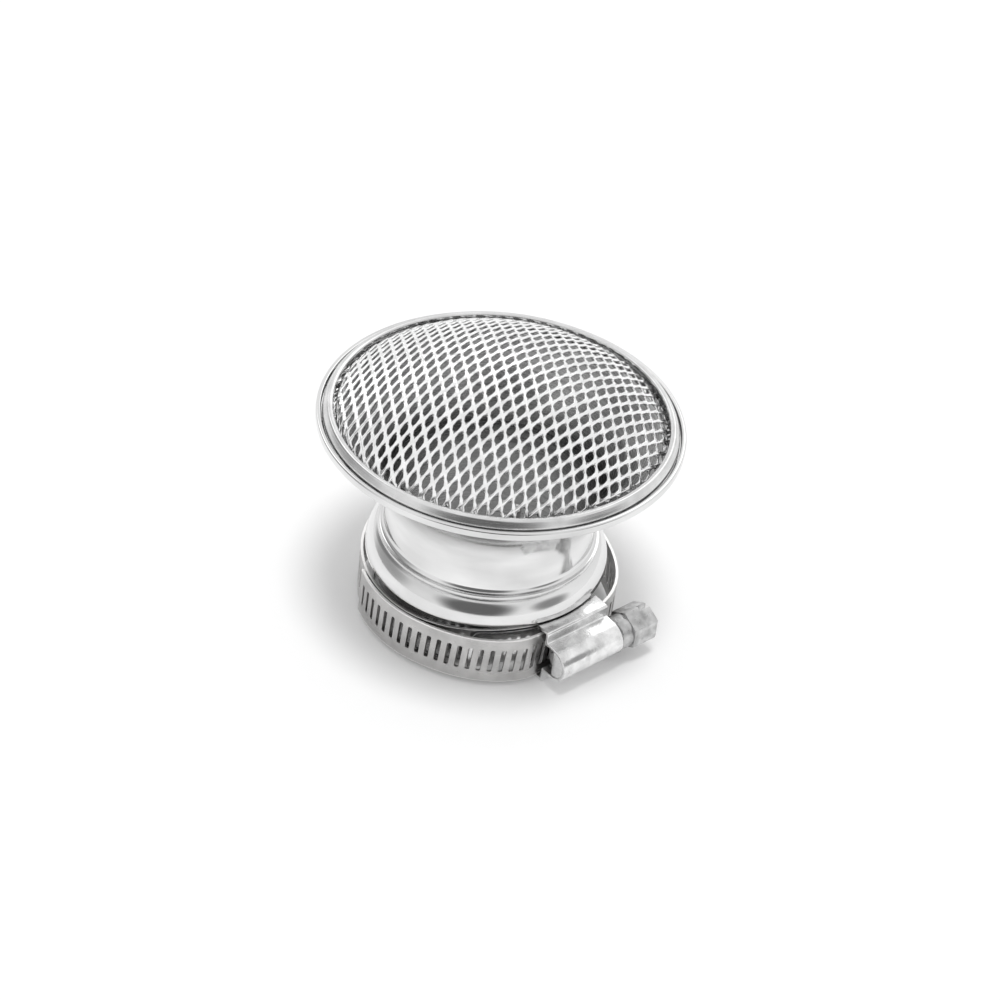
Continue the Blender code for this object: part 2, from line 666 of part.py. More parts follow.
def make_clamp_housing(material):
    """Join the cover, its two end walls and the saddle into one stamping."""
    housing = object_from("clamp_housing",
                          extruded_section(cover_section(), HOUSING_TAIL_END, HOUSING_HEAD_END), material)
    tip_wall = extruded_section(end_wall_section(0.0), HOUSING_TAIL_END + TIP_WALL / 4,
                                HOUSING_TAIL_END + TIP_WALL)
    head_wall = extruded_section(end_wall_section(SHANK_RADIUS + SEAT_GAP),
                                 HOUSING_HEAD_END - TIP_WALL, HOUSING_HEAD_END - TIP_WALL / 4)
    for name, shape in (("saddle", saddle_plate()), ("tip_wall", tip_wall), ("head_wall", head_wall)):
        join_or_cut(housing, cutter_from(name, shape), 'UNION')
    return housing


def screw_rings():
    """The screw's turned outline as (along, radius, rows with thread) from its tip to its head."""
    tip = HOUSING_TAIL_END + TIP_WALL + SEAT_GAP
    worm_end = HOUSING_HEAD_END - TIP_WALL - SEAT_GAP
    collar_start = HOUSING_HEAD_END + SEAT_GAP
    collar_end = collar_start + COLLAR_LENGTH
    return tip, worm_end, collar_start, collar_end


def worm_radius(angle, along, tip, worm_end):
    """Radius of the worm, whose single thread has the pitch of the strip's slots."""
    phase = (along / SLOT_PITCH - angle / math.tau) % 1.0
    height = 1 - abs(2 * phase - 1)
    fade = min(1.0, (along - tip) / SLOT_PITCH, (worm_end - along) / SLOT_PITCH)
    return WORM_RADIUS - WORM_THREAD_DEPTH * (1 - height * max(fade, 0.0))


def make_clamp_screw(material, pivot):
    """Build the worm and collar as rings along the axis, add the hexagon head and saw its slot."""
    tip, worm_end, collar_start, collar_end = screw_rings()
    root = WORM_RADIUS - WORM_THREAD_DEPTH
    rows = int((worm_end - tip) / SLOT_PITCH * WORM_ROWS_PER_TURN)
    stations = [(tip, None)]
    stations += [(tip + (worm_end - tip) * i / rows, None) for i in range(1, rows + 1)]
    stations += [(worm_end, SHANK_RADIUS), (collar_start, SHANK_RADIUS),
                 (collar_start, COLLAR_RADIUS - HEAD_CHAMFER / 2),
                 (collar_start + HEAD_CHAMFER / 2, COLLAR_RADIUS),
                 (collar_end, COLLAR_RADIUS)]
    shape = bmesh.new()
    rings = []
    for along, radius in stations:
        ring = []
        for i in range(WORM_STEPS):
            angle = math.tau * i / WORM_STEPS
            size = worm_radius(angle, along, tip, worm_end) if radius is None else radius
            ring.append(shape.verts.new((size * math.cos(angle), size * math.sin(angle), along)))
        rings.append(ring)
    for near, far in zip(rings, rings[1:]):
        for k in range(WORM_STEPS):
            shape.faces.new((near[k - 1], near[k], far[k], far[k - 1]))
    shape.faces.new(rings[0])
    shape.faces.new(rings[-1])
    screw = object_from("clamp_screw", shape, material)
    head = object_from("head_blank", hexagon_head(collar_end - root / 2), material)
    join_or_cut(screw, head, 'UNION')
    slot_size = (4 * COLLAR_RADIUS, HEAD_SLOT_WIDTH, HEAD_SLOT_DEPTH + CUT_OVERRUN)
    slot_middle = collar_end + HEAD_LENGTH + (CUT_OVERRUN - HEAD_SLOT_DEPTH) / 2
    join_or_cut(screw, cutter_from("slot_saw", box_shape(slot_size, (0, 0, slot_middle))), 'DIFFERENCE')
    screw.location = pivot
    screw.rotation_euler = (math.pi / 2, 0.0, math.pi + SCREW_ANGLE)
    return screw


def hexagon_head(start):
    """The head: a six sided bar with a chamfered end, from inside the collar outwards."""
    corner = HEAD_ACROSS_FLATS / math.sqrt(3)
    end = screw_rings()[3] + HEAD_LENGTH
    shape = bmesh.new()
    rings = []
    for along, size in ((start, corner), (end - HEAD_CHAMFER, corner), (end, corner - HEAD_CHAMFER)):
        rings.append([shape.verts.new((size * math.cos(math.tau * i / 6), size * math.sin(math.tau * i / 6),
                                       along)) for i in range(6)])
    for near, far in zip(rings, rings[1:]):
        for k in range(6):
            shape.faces.new((near[k - 1], near[k], far[k], far[k - 1]))
    shape.faces.new(rings[0])
    shape.faces.new(rings[-1])
    return shape


def build():
    """Make every piece of the part."""
    clear_scene()
    polished = finish_material("polished_aluminium", (0.90, 0.90, 0.91), 1.0, 0.12)
    screen = finish_material("bright_steel_mesh", (0.78, 0.78, 0.79), 1.0, 0.25)
    satin = finish_material("satin_aluminium", (0.80, 0.80, 0.80), 1.0, 0.38)
    strip = finish_material("stainless_strip", (0.62, 0.61, 0.60), 1.0, 0.32)
    plated = finish_material("bright_plating", (0.86, 0.86, 0.87), 1.0, 0.18)
    zinc = finish_material("dull_zinc", (0.60, 0.60, 0.61), 1.0, 0.42)
    make_trumpet(polished)
    make_mesh_dome(screen)
    make_rim_ring(satin)
    make_clamp_band(strip)
    make_clamp_housing(plated)
    make_clamp_screw(zinc, across_screw(0.0, screw_reach(), 0.0))


build()
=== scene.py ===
"""Carburettor air filter: a turned trumpet with an expanded metal screen, held by a worm drive clamp.

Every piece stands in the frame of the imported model, in metres, with +Z out of the bell.
"""
import logging
import math
from bisect import bisect
from collections.abc import Sequence
from dataclasses import dataclass, field, replace
from enum import Enum

import bmesh
import bpy
from mathutils import Matrix, Vector


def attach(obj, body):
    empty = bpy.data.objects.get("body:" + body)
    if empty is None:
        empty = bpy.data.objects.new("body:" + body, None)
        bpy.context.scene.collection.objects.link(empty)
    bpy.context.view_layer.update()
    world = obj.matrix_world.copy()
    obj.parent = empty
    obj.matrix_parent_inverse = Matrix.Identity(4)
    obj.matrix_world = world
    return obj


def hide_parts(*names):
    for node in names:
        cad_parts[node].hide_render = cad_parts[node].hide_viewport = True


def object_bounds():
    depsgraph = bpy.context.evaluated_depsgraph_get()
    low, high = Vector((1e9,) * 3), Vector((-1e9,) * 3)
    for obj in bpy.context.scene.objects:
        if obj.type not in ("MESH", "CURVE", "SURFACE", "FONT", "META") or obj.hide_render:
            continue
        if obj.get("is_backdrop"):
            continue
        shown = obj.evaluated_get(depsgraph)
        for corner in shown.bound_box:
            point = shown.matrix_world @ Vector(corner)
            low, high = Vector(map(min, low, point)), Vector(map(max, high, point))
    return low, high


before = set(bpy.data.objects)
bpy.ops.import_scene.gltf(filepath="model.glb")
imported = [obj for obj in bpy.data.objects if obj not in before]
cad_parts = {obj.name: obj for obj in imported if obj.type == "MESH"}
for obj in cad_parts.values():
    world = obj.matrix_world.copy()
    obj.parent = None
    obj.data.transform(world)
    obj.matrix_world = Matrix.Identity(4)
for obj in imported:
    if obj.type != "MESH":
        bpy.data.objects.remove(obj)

LOG = logging.getLogger("air_filter")
MM = 0.001
SAME_PLACE = 1e-6

Shape = bmesh.types.BMesh
Corner = tuple[float, float, float]
Colour = tuple[float, float, float, float]


class Body(Enum):
    """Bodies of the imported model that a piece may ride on."""

    STACK = "stack"
    SCREW = "screw"


class Slot(Enum):
    """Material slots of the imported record."""

    POLISHED = "polished_aluminium"
    MESH = "bright_steel_mesh"
    SATIN = "satin_aluminium"
    STRIP = "stainless_strip"
    PLATED = "bright_plating"
    ZINC = "dull_zinc"


class Graph:
    """The shader nodes of a material or a world, added and linked one at a time."""

    def __init__(self, owner: bpy.types.Material | bpy.types.World, shader: str) -> None:
        """Start from the shader that a material or a world has of its own."""
        owner.use_nodes = True
        self.tree = owner.node_tree
        self.shader = self.tree.nodes[shader].inputs

    def feed(self, socket: bpy.types.NodeSocket, value: object) -> None:
        """Link a socket or a node's first output to a socket, or set its value."""
        if isinstance(value, bpy.types.Node):
            value = value.outputs[0]
        if isinstance(value, bpy.types.NodeSocket):
            self.tree.links.new(value, socket)
        else:
            socket.default_value = value

    def add(self, kind: str, inputs: dict[str | int, object], **settings: object) -> bpy.types.Node:
        """Add one node.

        Args:
            kind: Blender's type name of the node.
            inputs: values, nodes or sockets for its inputs, by name or number.
            settings: properties of the node.

        Returns:
            The new node.
        """
        node = self.tree.nodes.new(kind)
        for name, value in settings.items():
            setattr(node, name, value)
        for name, value in inputs.items():
            self.feed(node.inputs[name], value)
        return node

    def math(self, operation: str, *values: object) -> bpy.types.Node:
        """One Math node on up to three values."""
        return self.add("ShaderNodeMath", dict(enumerate(values)), operation=operation)

    def blend(self, factor: object, first: object, second: object) -> bpy.types.NodeSocket:
        """Blend between two numbers by a factor from 0 to 1."""
        return self.add("ShaderNodeMix", {0: factor, 2: first, 3: second}, data_type='FLOAT').outputs[0]

    def place(self) -> bpy.types.NodeSocket:
        """Object coordinates of the shaded point."""
        return self.add("ShaderNodeTexCoord", {}).outputs["Object"]

    def ramp(self, value: object, start: float, end: float, low: float = 0.0,
             high: float = 1.0) -> bpy.types.NodeSocket:
        """Map a value that runs from start to end onto low to high."""
        inputs = {"Value": value, "From Min": start, "From Max": end, "To Min": low, "To Max": high}
        return self.add("ShaderNodeMapRange", inputs).outputs["Result"]

    def spread(self, noise: object, low: float, high: float) -> bpy.types.NodeSocket:
        """Stretch the middle of a noise over a range of values."""
        return self.ramp(noise, 0.3, 0.7, low, high)

    def around(self, turn_share: float) -> bpy.types.Node:
        """Coordinates that run with a lathe's tool: radius, height and a little of the angle.

        Args:
            turn_share: how far the pattern changes on the way round, against across it.

        Returns:
            The node that combines them.
        """
        parts = self.add("ShaderNodeSeparateXYZ", {0: self.place()})
        flat = self.add("ShaderNodeCombineXYZ", {0: parts.outputs[0], 1: parts.outputs[1]})
        radius = self.add("ShaderNodeVectorMath", {0: flat}, operation='LENGTH').outputs["Value"]
        side = self.math('MULTIPLY', parts.outputs[0], turn_share)
        return self.add("ShaderNodeCombineXYZ", {0: radius, 1: side, 2: parts.outputs[2]})


@dataclass(frozen=True)
class Pattern:
    """Noise on a surface: patches, or lines round the trumpet's axis where it has a turn share."""

    scale: float
    detail: float
    turn_share: float | None = None

    def draw(self, graph: Graph) -> bpy.types.NodeSocket:
        """The pattern, from 0 to 1."""
        where = graph.place() if self.turn_share is None else graph.around(self.turn_share)
        inputs = {"Vector": where, "Scale": self.scale, "Detail": self.detail}
        return graph.add("ShaderNodeTexNoise", inputs).outputs["Fac"]


@dataclass(frozen=True)
class Finish:
    """A metal surface: its tones, its shine and the marks that its making leaves.

    Attributes:
        name: name of its material.
        dark: darkest tone.
        light: lightest tone.
        smooth: least roughness.
        rough: greatest roughness.
        patches: soft pattern that sets the tone.
        marks: fine relief, such as tool lines, grain or pits.
        depth: depth of the marks.
        strength: strength of the marks' relief.
        buffed: whether the light patches are also the smoother ones; otherwise the marks set the shine.
        pitted: whether the marks are stretched into distinct pits.
        warmth: how far red is above green, and blue below it.
    """

    name: str
    dark: float
    light: float
    smooth: float
    rough: float
    patches: Pattern
    marks: Pattern
    depth: float
    strength: float = 0.5
    buffed: bool = False
    pitted: bool = False
    warmth: float = 0.0

    def tone(self, graph: Graph, patches: bpy.types.NodeSocket) -> object:
        """How light the surface is, from 0 to 1."""
        return graph.spread(patches, 0.0, 1.0)

    def material(self) -> bpy.types.Material:
        """Build this finish's material.

        Returns:
            The material, with its nodes linked.
        """
        made = bpy.data.materials.new(self.name)
        graph = Graph(made, "Principled BSDF")
        marks, patches = self.marks.draw(graph), self.patches.draw(graph)
        tones = {0: self.tone(graph, patches), 6: grey(self.dark, self.warmth),
                 7: grey(self.light, self.warmth)}
        colour = graph.add("ShaderNodeMix", tones, data_type='RGBA')
        graph.feed(graph.shader["Metallic"], 1.0)
        graph.feed(graph.shader["Base Color"], colour.outputs[2])
        shine = (patches, self.rough, self.smooth) if self.buffed else (marks, self.smooth, self.rough)
        graph.feed(graph.shader["Roughness"], graph.spread(*shine))
        height = graph.spread(marks, 0.0, 1.0) if self.pitted else marks
        relief = {"Height": height, "Distance": self.depth, "Strength": self.strength}
        graph.feed(graph.shader["Normal"], graph.add("ShaderNodeBump", relief))
        return made


@dataclass(frozen=True)
class StripFinish(Finish):
    """A strip's finish, faintly stained, with a painted highlight along its top and bottom edges.

    Attributes:
        middle: height of the strip's middle.
        half_width: half of the strip's width.
        edge_highlight_reach: how far the brighter edge reaches in.
        stain_share: share of the range of tones that the stains take.
    """

    middle: float = 0.0
    # edge_highlight_reach: how far the painted edge highlight reaches in.
    half_width: float = 0.0
    edge_highlight_reach: float = 0.35 * MM
    stain_share: float = 0.26

    def tone(self, graph: Graph, patches: bpy.types.NodeSocket) -> object:
        """How light the surface is, from 0 to 1."""
        height = graph.add("ShaderNodeSeparateXYZ", {0: graph.place()}).outputs[2]
        off_middle = graph.math('ABSOLUTE', graph.math('SUBTRACT', height, self.middle))
        # Painted highlight: the strip is lighter in a band along its top and bottom edges.
        painted_edge_highlight = graph.ramp(off_middle, self.half_width - self.edge_highlight_reach, self.half_width)
        return graph.math('MAXIMUM', graph.spread(patches, 0.0, self.stain_share), painted_edge_highlight)


def grey(level: float, warmth: float = 0.0) -> Colour:
    """A grey, a little warmer or cooler."""
    return (level * (1 + warmth), level, level * (1 - warmth), 1.0)


# Turned on a lathe and polished with a mop; its lighter and darker streaks round the axis are mop smears
# and also painted reflection bands.
POLISHED = Finish("polished_aluminium_turned", dark=0.60, light=0.86, smooth=0.07, rough=0.16,
                  patches=Pattern(160.0, 3.0, 0.35), marks=Pattern(5200.0, 3.0, 0.02), depth=0.006 * MM,
                  strength=0.6, buffed=True)
# The bore and the spigot, left as they were turned; their darker tone is also painted shade, inside the
# bell behind the screen and under the flange.
TURNED_AND_SHADED = Finish("turned_and_shaded_bore", dark=0.40, light=0.57, smooth=0.20, rough=0.34,
                patches=Pattern(2400.0, 3.0, 0.03), marks=Pattern(2400.0, 3.0, 0.03), depth=0.01 * MM)
# Expanded steel, with burrs and uneven shine.
STRANDS = Finish("bright_steel_strands", dark=0.84, light=1.0, smooth=0.10, rough=0.24,
                 patches=Pattern(420.0, 2.0), marks=Pattern(2600.0, 3.0), depth=0.02 * MM, strength=0.4)
# Rolled aluminium, brushed round its axis.
SATIN = Finish("satin_aluminium_rolled", dark=0.64, light=0.78, smooth=0.16, rough=0.30,
               patches=Pattern(240.0, 2.0), marks=Pattern(3800.0, 4.0, 0.04), depth=0.015 * MM)
# Stainless strip as it comes off the roll, with faint lines along it.
STRIP = StripFinish("stainless_strip_rolled", dark=0.45, light=0.95, smooth=0.26, rough=0.40,
                    patches=Pattern(300.0, 3.0), marks=Pattern(3000.0, 3.0, 0.05), depth=0.02 * MM,
                    warmth=0.01)
# Pressed and plated, with pits and scuffs.
PLATED = Finish("bright_plating_pressed", dark=0.66, light=0.92, smooth=0.14, rough=0.28,
                patches=Pattern(500.0, 2.0), marks=Pattern(1500.0, 3.0), depth=0.03 * MM, strength=0.35,
                buffed=True, pitted=True)
# Grey plating on the screw, with a coarse grain and worn patches.
ZINC = Finish("dull_zinc_plating", dark=0.34, light=0.66, smooth=0.26, rough=0.46,
              patches=Pattern(520.0, 3.0), marks=Pattern(2200.0, 4.0), depth=0.04 * MM)


def eased(value: float, start: float, end: float) -> float:
    """Ease from 0 to 1 as a value goes from start to end."""
    share = min(max((value - start) / (end - start), 0.0), 1.0)
    return share * share * (3 - 2 * share)


def bezier(corners: Sequence[Corner], steps: int) -> list[Corner]:
    """Points of a cubic curve in a (radius, height, rounding) outline, without rounding.

    Args:
        corners: first point, its handle, the last point's handle and the last point.
        steps: number of spans.

    Returns:
        The points from the first to the last.
    """
    points = []
    for i in range(steps + 1):
        t = i / steps
        weights = ((1 - t) ** 3, 3 * t * (1 - t) ** 2, 3 * t * t * (1 - t), t ** 3)
        at = [sum(w * c[k] for w, c in zip(weights, corners)) for k in (0, 1)]
        points.append((at[0], at[1], 0.0))
    return points


def arc(centre: Sequence[float], size: Sequence[float], start: float, end: float,
        steps: int) -> list[Corner]:
    """Points of an arc of a circle or an ellipse, without rounding.

    Args:
        centre: its centre.
        size: its two half axes.
        start: first angle, in degrees.
        end: last angle, in degrees.
        steps: number of spans.

    Returns:
        The points from start to end.
    """
    angles = [math.radians(start + (end - start) * i / steps) for i in range(steps + 1)]
    return [(centre[0] + size[0] * math.cos(a), centre[1] + size[1] * math.sin(a), 0.0) for a in angles]


def bevel(shape: Shape, geom: list, size: float, segments: int, kind: str = 'EDGES') -> None:
    """Round edges, or the corners of flat faces where kind is VERTICES."""
    bmesh.ops.bevel(shape, geom=geom, offset=size, offset_type='OFFSET', segments=segments, profile=0.5,
                    affect=kind, clamp_overlap=kind == 'EDGES', material=-1)


def break_edges(shape: Shape, size: float, limit: float) -> None:
    """Round every edge that is sharper than a limit, given in degrees."""
    sharp = [edge for edge in shape.edges
             if len(edge.link_faces) == 2 and edge.calc_face_angle(0.0) > math.radians(limit)]
    bevel(shape, sharp, size, 2)


def shift_made(shape: Shape, made: dict[str, list], way: Sequence[float]) -> None:
    """Move the corners that an extrusion made."""
    moved = [item for item in made["geom"] if isinstance(item, bmesh.types.BMVert)]
    bmesh.ops.translate(shape, vec=way, verts=moved)


def rounded_face(corners: Sequence[Corner], segments: int = 4) -> Shape:
    """One flat face in the XZ plane, with each of its corners rounded as asked.

    Args:
        corners: (x, z, rounding) of each corner, in order.
        segments: spans in each rounding.

    Returns:
        A bmesh with that one face.
    """
    shape = bmesh.new()
    groups: dict[float, list[bmesh.types.BMVert]] = {}
    verts = []
    for x, z, rounding in corners:
        vert = shape.verts.new((x, 0.0, z))
        verts.append(vert)
        if rounding > 0:
            groups.setdefault(rounding, []).append(vert)
    shape.faces.new(verts)
    for size, group in groups.items():
        bevel(shape, group, size, segments, 'VERTICES')
    return shape


def turned(corners: Sequence[Corner], steps: int) -> Shape:
    """Spin a closed (radius, height, rounding) outline about Z.

    Args:
        corners: the outline's corners in order, which may touch the axis.
        steps: spans in the full turn.

    Returns:
        The closed turned shape.
    """
    shape = rounded_face(corners)
    bmesh.ops.delete(shape, geom=shape.faces[:], context='FACES_ONLY')
    on_axis = [edge for edge in shape.edges if all(vert.co.x < SAME_PLACE for vert in edge.verts)]
    bmesh.ops.delete(shape, geom=on_axis, context='EDGES')
    bmesh.ops.spin(shape, geom=shape.verts[:] + shape.edges[:], cent=(0, 0, 0), axis=(0, 0, 1),
                   angle=math.tau, steps=steps, use_merge=True, use_duplicate=False)
    bmesh.ops.remove_doubles(shape, verts=shape.verts, dist=SAME_PLACE)
    bmesh.ops.recalc_face_normals(shape, faces=shape.faces)
    return shape


def drawn_out(corners: Sequence[Corner], start: float, end: float) -> Shape:
    """Extrude a rounded face along Y.

    Args:
        corners: (x, z, rounding) of each corner.
        start: Y of the first end.
        end: Y of the other end.

    Returns:
        The closed bar.
    """
    shape = rounded_face(corners)
    bmesh.ops.translate(shape, vec=(0, start, 0), verts=shape.verts)
    shift_made(shape, bmesh.ops.extrude_face_region(shape, geom=shape.faces[:]), (0, end - start, 0))
    bmesh.ops.recalc_face_normals(shape, faces=shape.faces)
    return shape


def block(size: Sequence[float], centre: Sequence[float]) -> Shape:
    """A plain block, only used to cut other shapes."""
    shape = bmesh.new()
    bmesh.ops.create_cube(shape, size=1.0)
    bmesh.ops.scale(shape, vec=Vector(size), verts=shape.verts)
    bmesh.ops.translate(shape, vec=Vector(centre), verts=shape.verts)
    return shape


def shade(mesh: bpy.types.Mesh, sharp_angle: float) -> None:
    """Shade a mesh smooth, but for the edges sharper than an angle in degrees."""
    mesh.shade_smooth()
    mesh.set_sharp_from_angle(angle=math.radians(sharp_angle))


def object_from(name: str, shape: Shape, sharp_angle: float = 35.0) -> bpy.types.Object:
    """Turn a bmesh into an object at the origin.

    Args:
        name: name of the object and its mesh.
        shape: the bmesh, which is freed.
        sharp_angle: edges sharper than this, in degrees, are shaded sharp.

    Returns:
        The linked object.
    """
    mesh = bpy.data.meshes.new(name)
    shape.to_mesh(mesh)
    shape.free()
    shade(mesh, sharp_angle)
    made = bpy.data.objects.new(name, mesh)
    bpy.context.scene.collection.objects.link(made)
    return made


def thicken(made: bpy.types.Object, thickness: float) -> None:
    """Give a sheet its thickness, half of it to each side."""
    wall = made.modifiers.new("thickness", 'SOLIDIFY')
    wall.thickness = thickness
    wall.offset = 0.0
    wall.use_even_offset = True


def settle(made: bpy.types.Object) -> None:
    """Apply an object's modifiers to its mesh."""
    evaluated = made.evaluated_get(bpy.context.evaluated_depsgraph_get())
    shaped = bpy.data.meshes.new_from_object(evaluated)
    made.modifiers.clear()
    old = made.data
    made.data = shaped
    bpy.data.meshes.remove(old)


def cut_with(made: bpy.types.Object, shape: Shape) -> None:
    """Cut a shape out of an object, and leave nothing of the cutter."""
    tool = object_from(made.name + "_cutter", shape)
    boolean = made.modifiers.new("cut", 'BOOLEAN')
    boolean.operation = 'DIFFERENCE'
    boolean.solver = 'EXACT'
    boolean.object = tool
    settle(made)
    bpy.data.objects.remove(tool, do_unlink=True)


def joined(shapes: Sequence[Shape]) -> Shape:
    """Put several closed shapes into one bmesh, and free them."""
    whole = bmesh.new()
    for shape in shapes:
        mesh = bpy.data.meshes.new("part_of_piece")
        shape.to_mesh(mesh)
        shape.free()
        whole.from_mesh(mesh)
        bpy.data.meshes.remove(mesh)
    return whole


def fit(made: bpy.types.Object, finishes: Sequence[Finish], body: Body, node: str) -> None:
    """Dress a piece, let it ride on its body and hide the CAD node that it stands for.

    Args:
        made: the finished object.
        finishes: one finish for each material index of its faces.
        body: the body it rides on.
        node: the CAD node that it replaces.
    """
    made.data.materials.clear()
    for finish in finishes:
        made.data.materials.append(finish.material())
    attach(made, body.value)
    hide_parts(node)
    LOG.info("%s rides on %s with %d faces", made.name, body.value, len(made.data.polygons))


@dataclass
class Trumpet:
    """Turned trumpet: slit spigot, flange with its shoulder and step ring, neck, bell and lip."""

    spigot_radius: float = 19.0 * MM
    spigot_wall: float = 1.4 * MM
    socket_depth: float = 9.2 * MM
    foot_round: float = 0.4 * MM
    slit_width: float = 1.6 * MM
    slit_height: float = 8.0 * MM
    slit_count: int = 3
    slit_first_angle: float = math.radians(75.0)
    flange_width: float = 1.8 * MM
    flange_underside: float = 11.1 * MM
    flange_edge_height: float = 0.8 * MM
    shoulder_rise: float = 3.6 * MM
    shoulder_cone: float = 0.35
    shoulder_start: float = 80.0
    shoulder_steps: int = 12
    step_ring_height: float = 0.7 * MM
    step_groove: float = 0.2 * MM
    neck_step: float = 1.15 * MM
    neck_wall: float = 1.5 * MM
    cove_height: float = 1.2 * MM
    cove_run_out: float = 0.85 * MM
    cove_steps: int = 6
    neck_height: float = 3.6 * MM
    bell_rise: float = 16.3 * MM
    lip_radius: float = 30.75 * MM
    lip_overhang: float = 1.75 * MM
    lip_width: float = 3.75 * MM
    lip_floor: float = 0.9 * MM
    counterbore_depth: float = 1.0 * MM
    bead_width: float = 0.8 * MM
    bead_round: float = 0.3 * MM
    bead_drop: float = 0.5 * MM
    step_round: float = 0.15 * MM
    inside_round: float = 0.1 * MM
    socket_edge_round: float = 0.25 * MM
    outer_handles: tuple[float, float, float] = (0.33, 0.43, 0.77)
    inner_handles: tuple[float, float, float] = (0.37, 0.46, 0.79)
    bell_steps: int = 28
    spin_steps: int = 192
    sharp_angle: float = 35.0

    @property
    def neck_radius(self) -> float:
        """Outside of the neck."""
        return self.spigot_radius - self.neck_step

    @property
    def shoulder_top(self) -> float:
        """Height of the shoulder's upper end."""
        return self.flange_underside + self.flange_edge_height + self.shoulder_rise

    @property
    def cove_top(self) -> float:
        """Height where the cove runs out into the neck."""
        return self.shoulder_top + self.step_ring_height + self.cove_height

    @property
    def bell_start(self) -> float:
        """Height where the bell leaves the neck."""
        return self.cove_top + self.neck_height

    @property
    def bell_top(self) -> float:
        """Height where the bell's outside meets the lip."""
        return self.bell_start + self.bell_rise

    @property
    def counterbore_floor(self) -> float:
        """Height of the ledge that the screen and its ring stand on."""
        return self.bell_top + self.lip_floor

    def bell_wall(self, low: float, high: float, top: float, handles: Sequence[float]) -> list[Corner]:
        """One side of the bell's wall from the neck up.

        Args:
            low: radius at the neck.
            high: radius at the lip.
            top: height at the lip.
            handles: share of the flare and two shares of the rise, for the curve's handles.

        Returns:
            Outline points from the neck to the lip.
        """
        rise, flare, start = top - self.bell_start, high - low, self.bell_start
        return bezier([(low, start, 0), (low, start + rise * handles[1], 0),
                       (low + flare * handles[0], start + rise * handles[2], 0), (high, top, 0)],
                      self.bell_steps)

    def outline(self) -> list[Corner]:
        """The wall's outline: up the bore, over the lip and down the outside."""
        socket = self.spigot_radius - self.spigot_wall
        bore = self.neck_radius - self.neck_wall
        points = [(socket, 0, self.foot_round), (socket, self.socket_depth, self.inside_round),
                  (bore, self.socket_depth, self.socket_edge_round)]
        points += self.bell_wall(bore, self.lip_radius - self.lip_width, self.counterbore_floor,
                                 self.inner_handles)
        bead = self.lip_radius - self.bead_width
        bead_top = self.counterbore_floor + self.counterbore_depth
        points += [(bead, self.counterbore_floor, self.inside_round),
                   (bead, bead_top, self.bead_round / 2),
                   (self.lip_radius, bead_top, self.bead_round),
                   (self.lip_radius, self.bell_top + self.bead_drop, self.bead_round)]
        outside = self.bell_wall(self.neck_radius, self.lip_radius - self.lip_overhang, self.bell_top,
                                 self.outer_handles)
        return points + outside[::-1] + self.foot()

    def foot(self) -> list[Corner]:
        """The outside below the neck: cove, step ring, shoulder, flange edge and spigot."""
        step_top = self.shoulder_top + self.step_ring_height
        step_radius = self.neck_radius + self.neck_step
        centre = self.neck_radius + self.cove_run_out
        cove = (self.cove_run_out, self.cove_height)
        points = arc((centre, self.cove_top), cove, 180, 270, self.cove_steps)
        points += [(step_radius, step_top, self.step_round),
                   (step_radius, self.shoulder_top, self.step_round),
                   (step_radius - self.step_groove, self.shoulder_top, 0.0)]
        edge_top = self.flange_underside + self.flange_edge_height
        swell = arc((self.spigot_radius, edge_top), (self.flange_width, self.shoulder_rise),
                    self.shoulder_start, 0, self.shoulder_steps)
        slope = self.shoulder_rise / self.flange_width
        for radius, height, _ in swell:
            cone = self.shoulder_top - slope * (radius - self.spigot_radius)
            points.append((radius, height + (cone - height) * self.shoulder_cone, 0.0))
        points += [(self.spigot_radius + self.flange_width, self.flange_underside, 2 * self.inside_round),
                   (self.spigot_radius, self.flange_underside, self.inside_round),
                   (self.spigot_radius, 0.0, self.foot_round)]
        return points

    def build(self) -> None:
        """Turn the trumpet, saw its slits and dress it."""
        made = object_from("trumpet_turned", turned(self.outline(), self.spin_steps))
        size = (3 * self.spigot_wall, self.slit_width, 2 * self.slit_height)
        for i in range(self.slit_count):
            saw = block(size, (self.spigot_radius - self.spigot_wall / 2, 0, 0))
            turn = Matrix.Rotation(self.slit_first_angle + math.tau * i / self.slit_count, 4, 'Z')
            bmesh.ops.transform(saw, matrix=turn, verts=saw.verts)
            cut_with(made, saw)
        shade(made.data, self.sharp_angle)
        fit(made, (POLISHED, TURNED_AND_SHADED), Body.STACK, "trumpet")
        # The bore and everything below the flange take the darker turned finish, which also paints their
        # shade.
        for face in made.data.polygons:
            outward = face.center.x * face.normal.x + face.center.y * face.normal.y
            inside = outward < 0 and face.center.z < self.counterbore_floor
            face.material_index = int(inside or face.center.z < self.flange_underside)


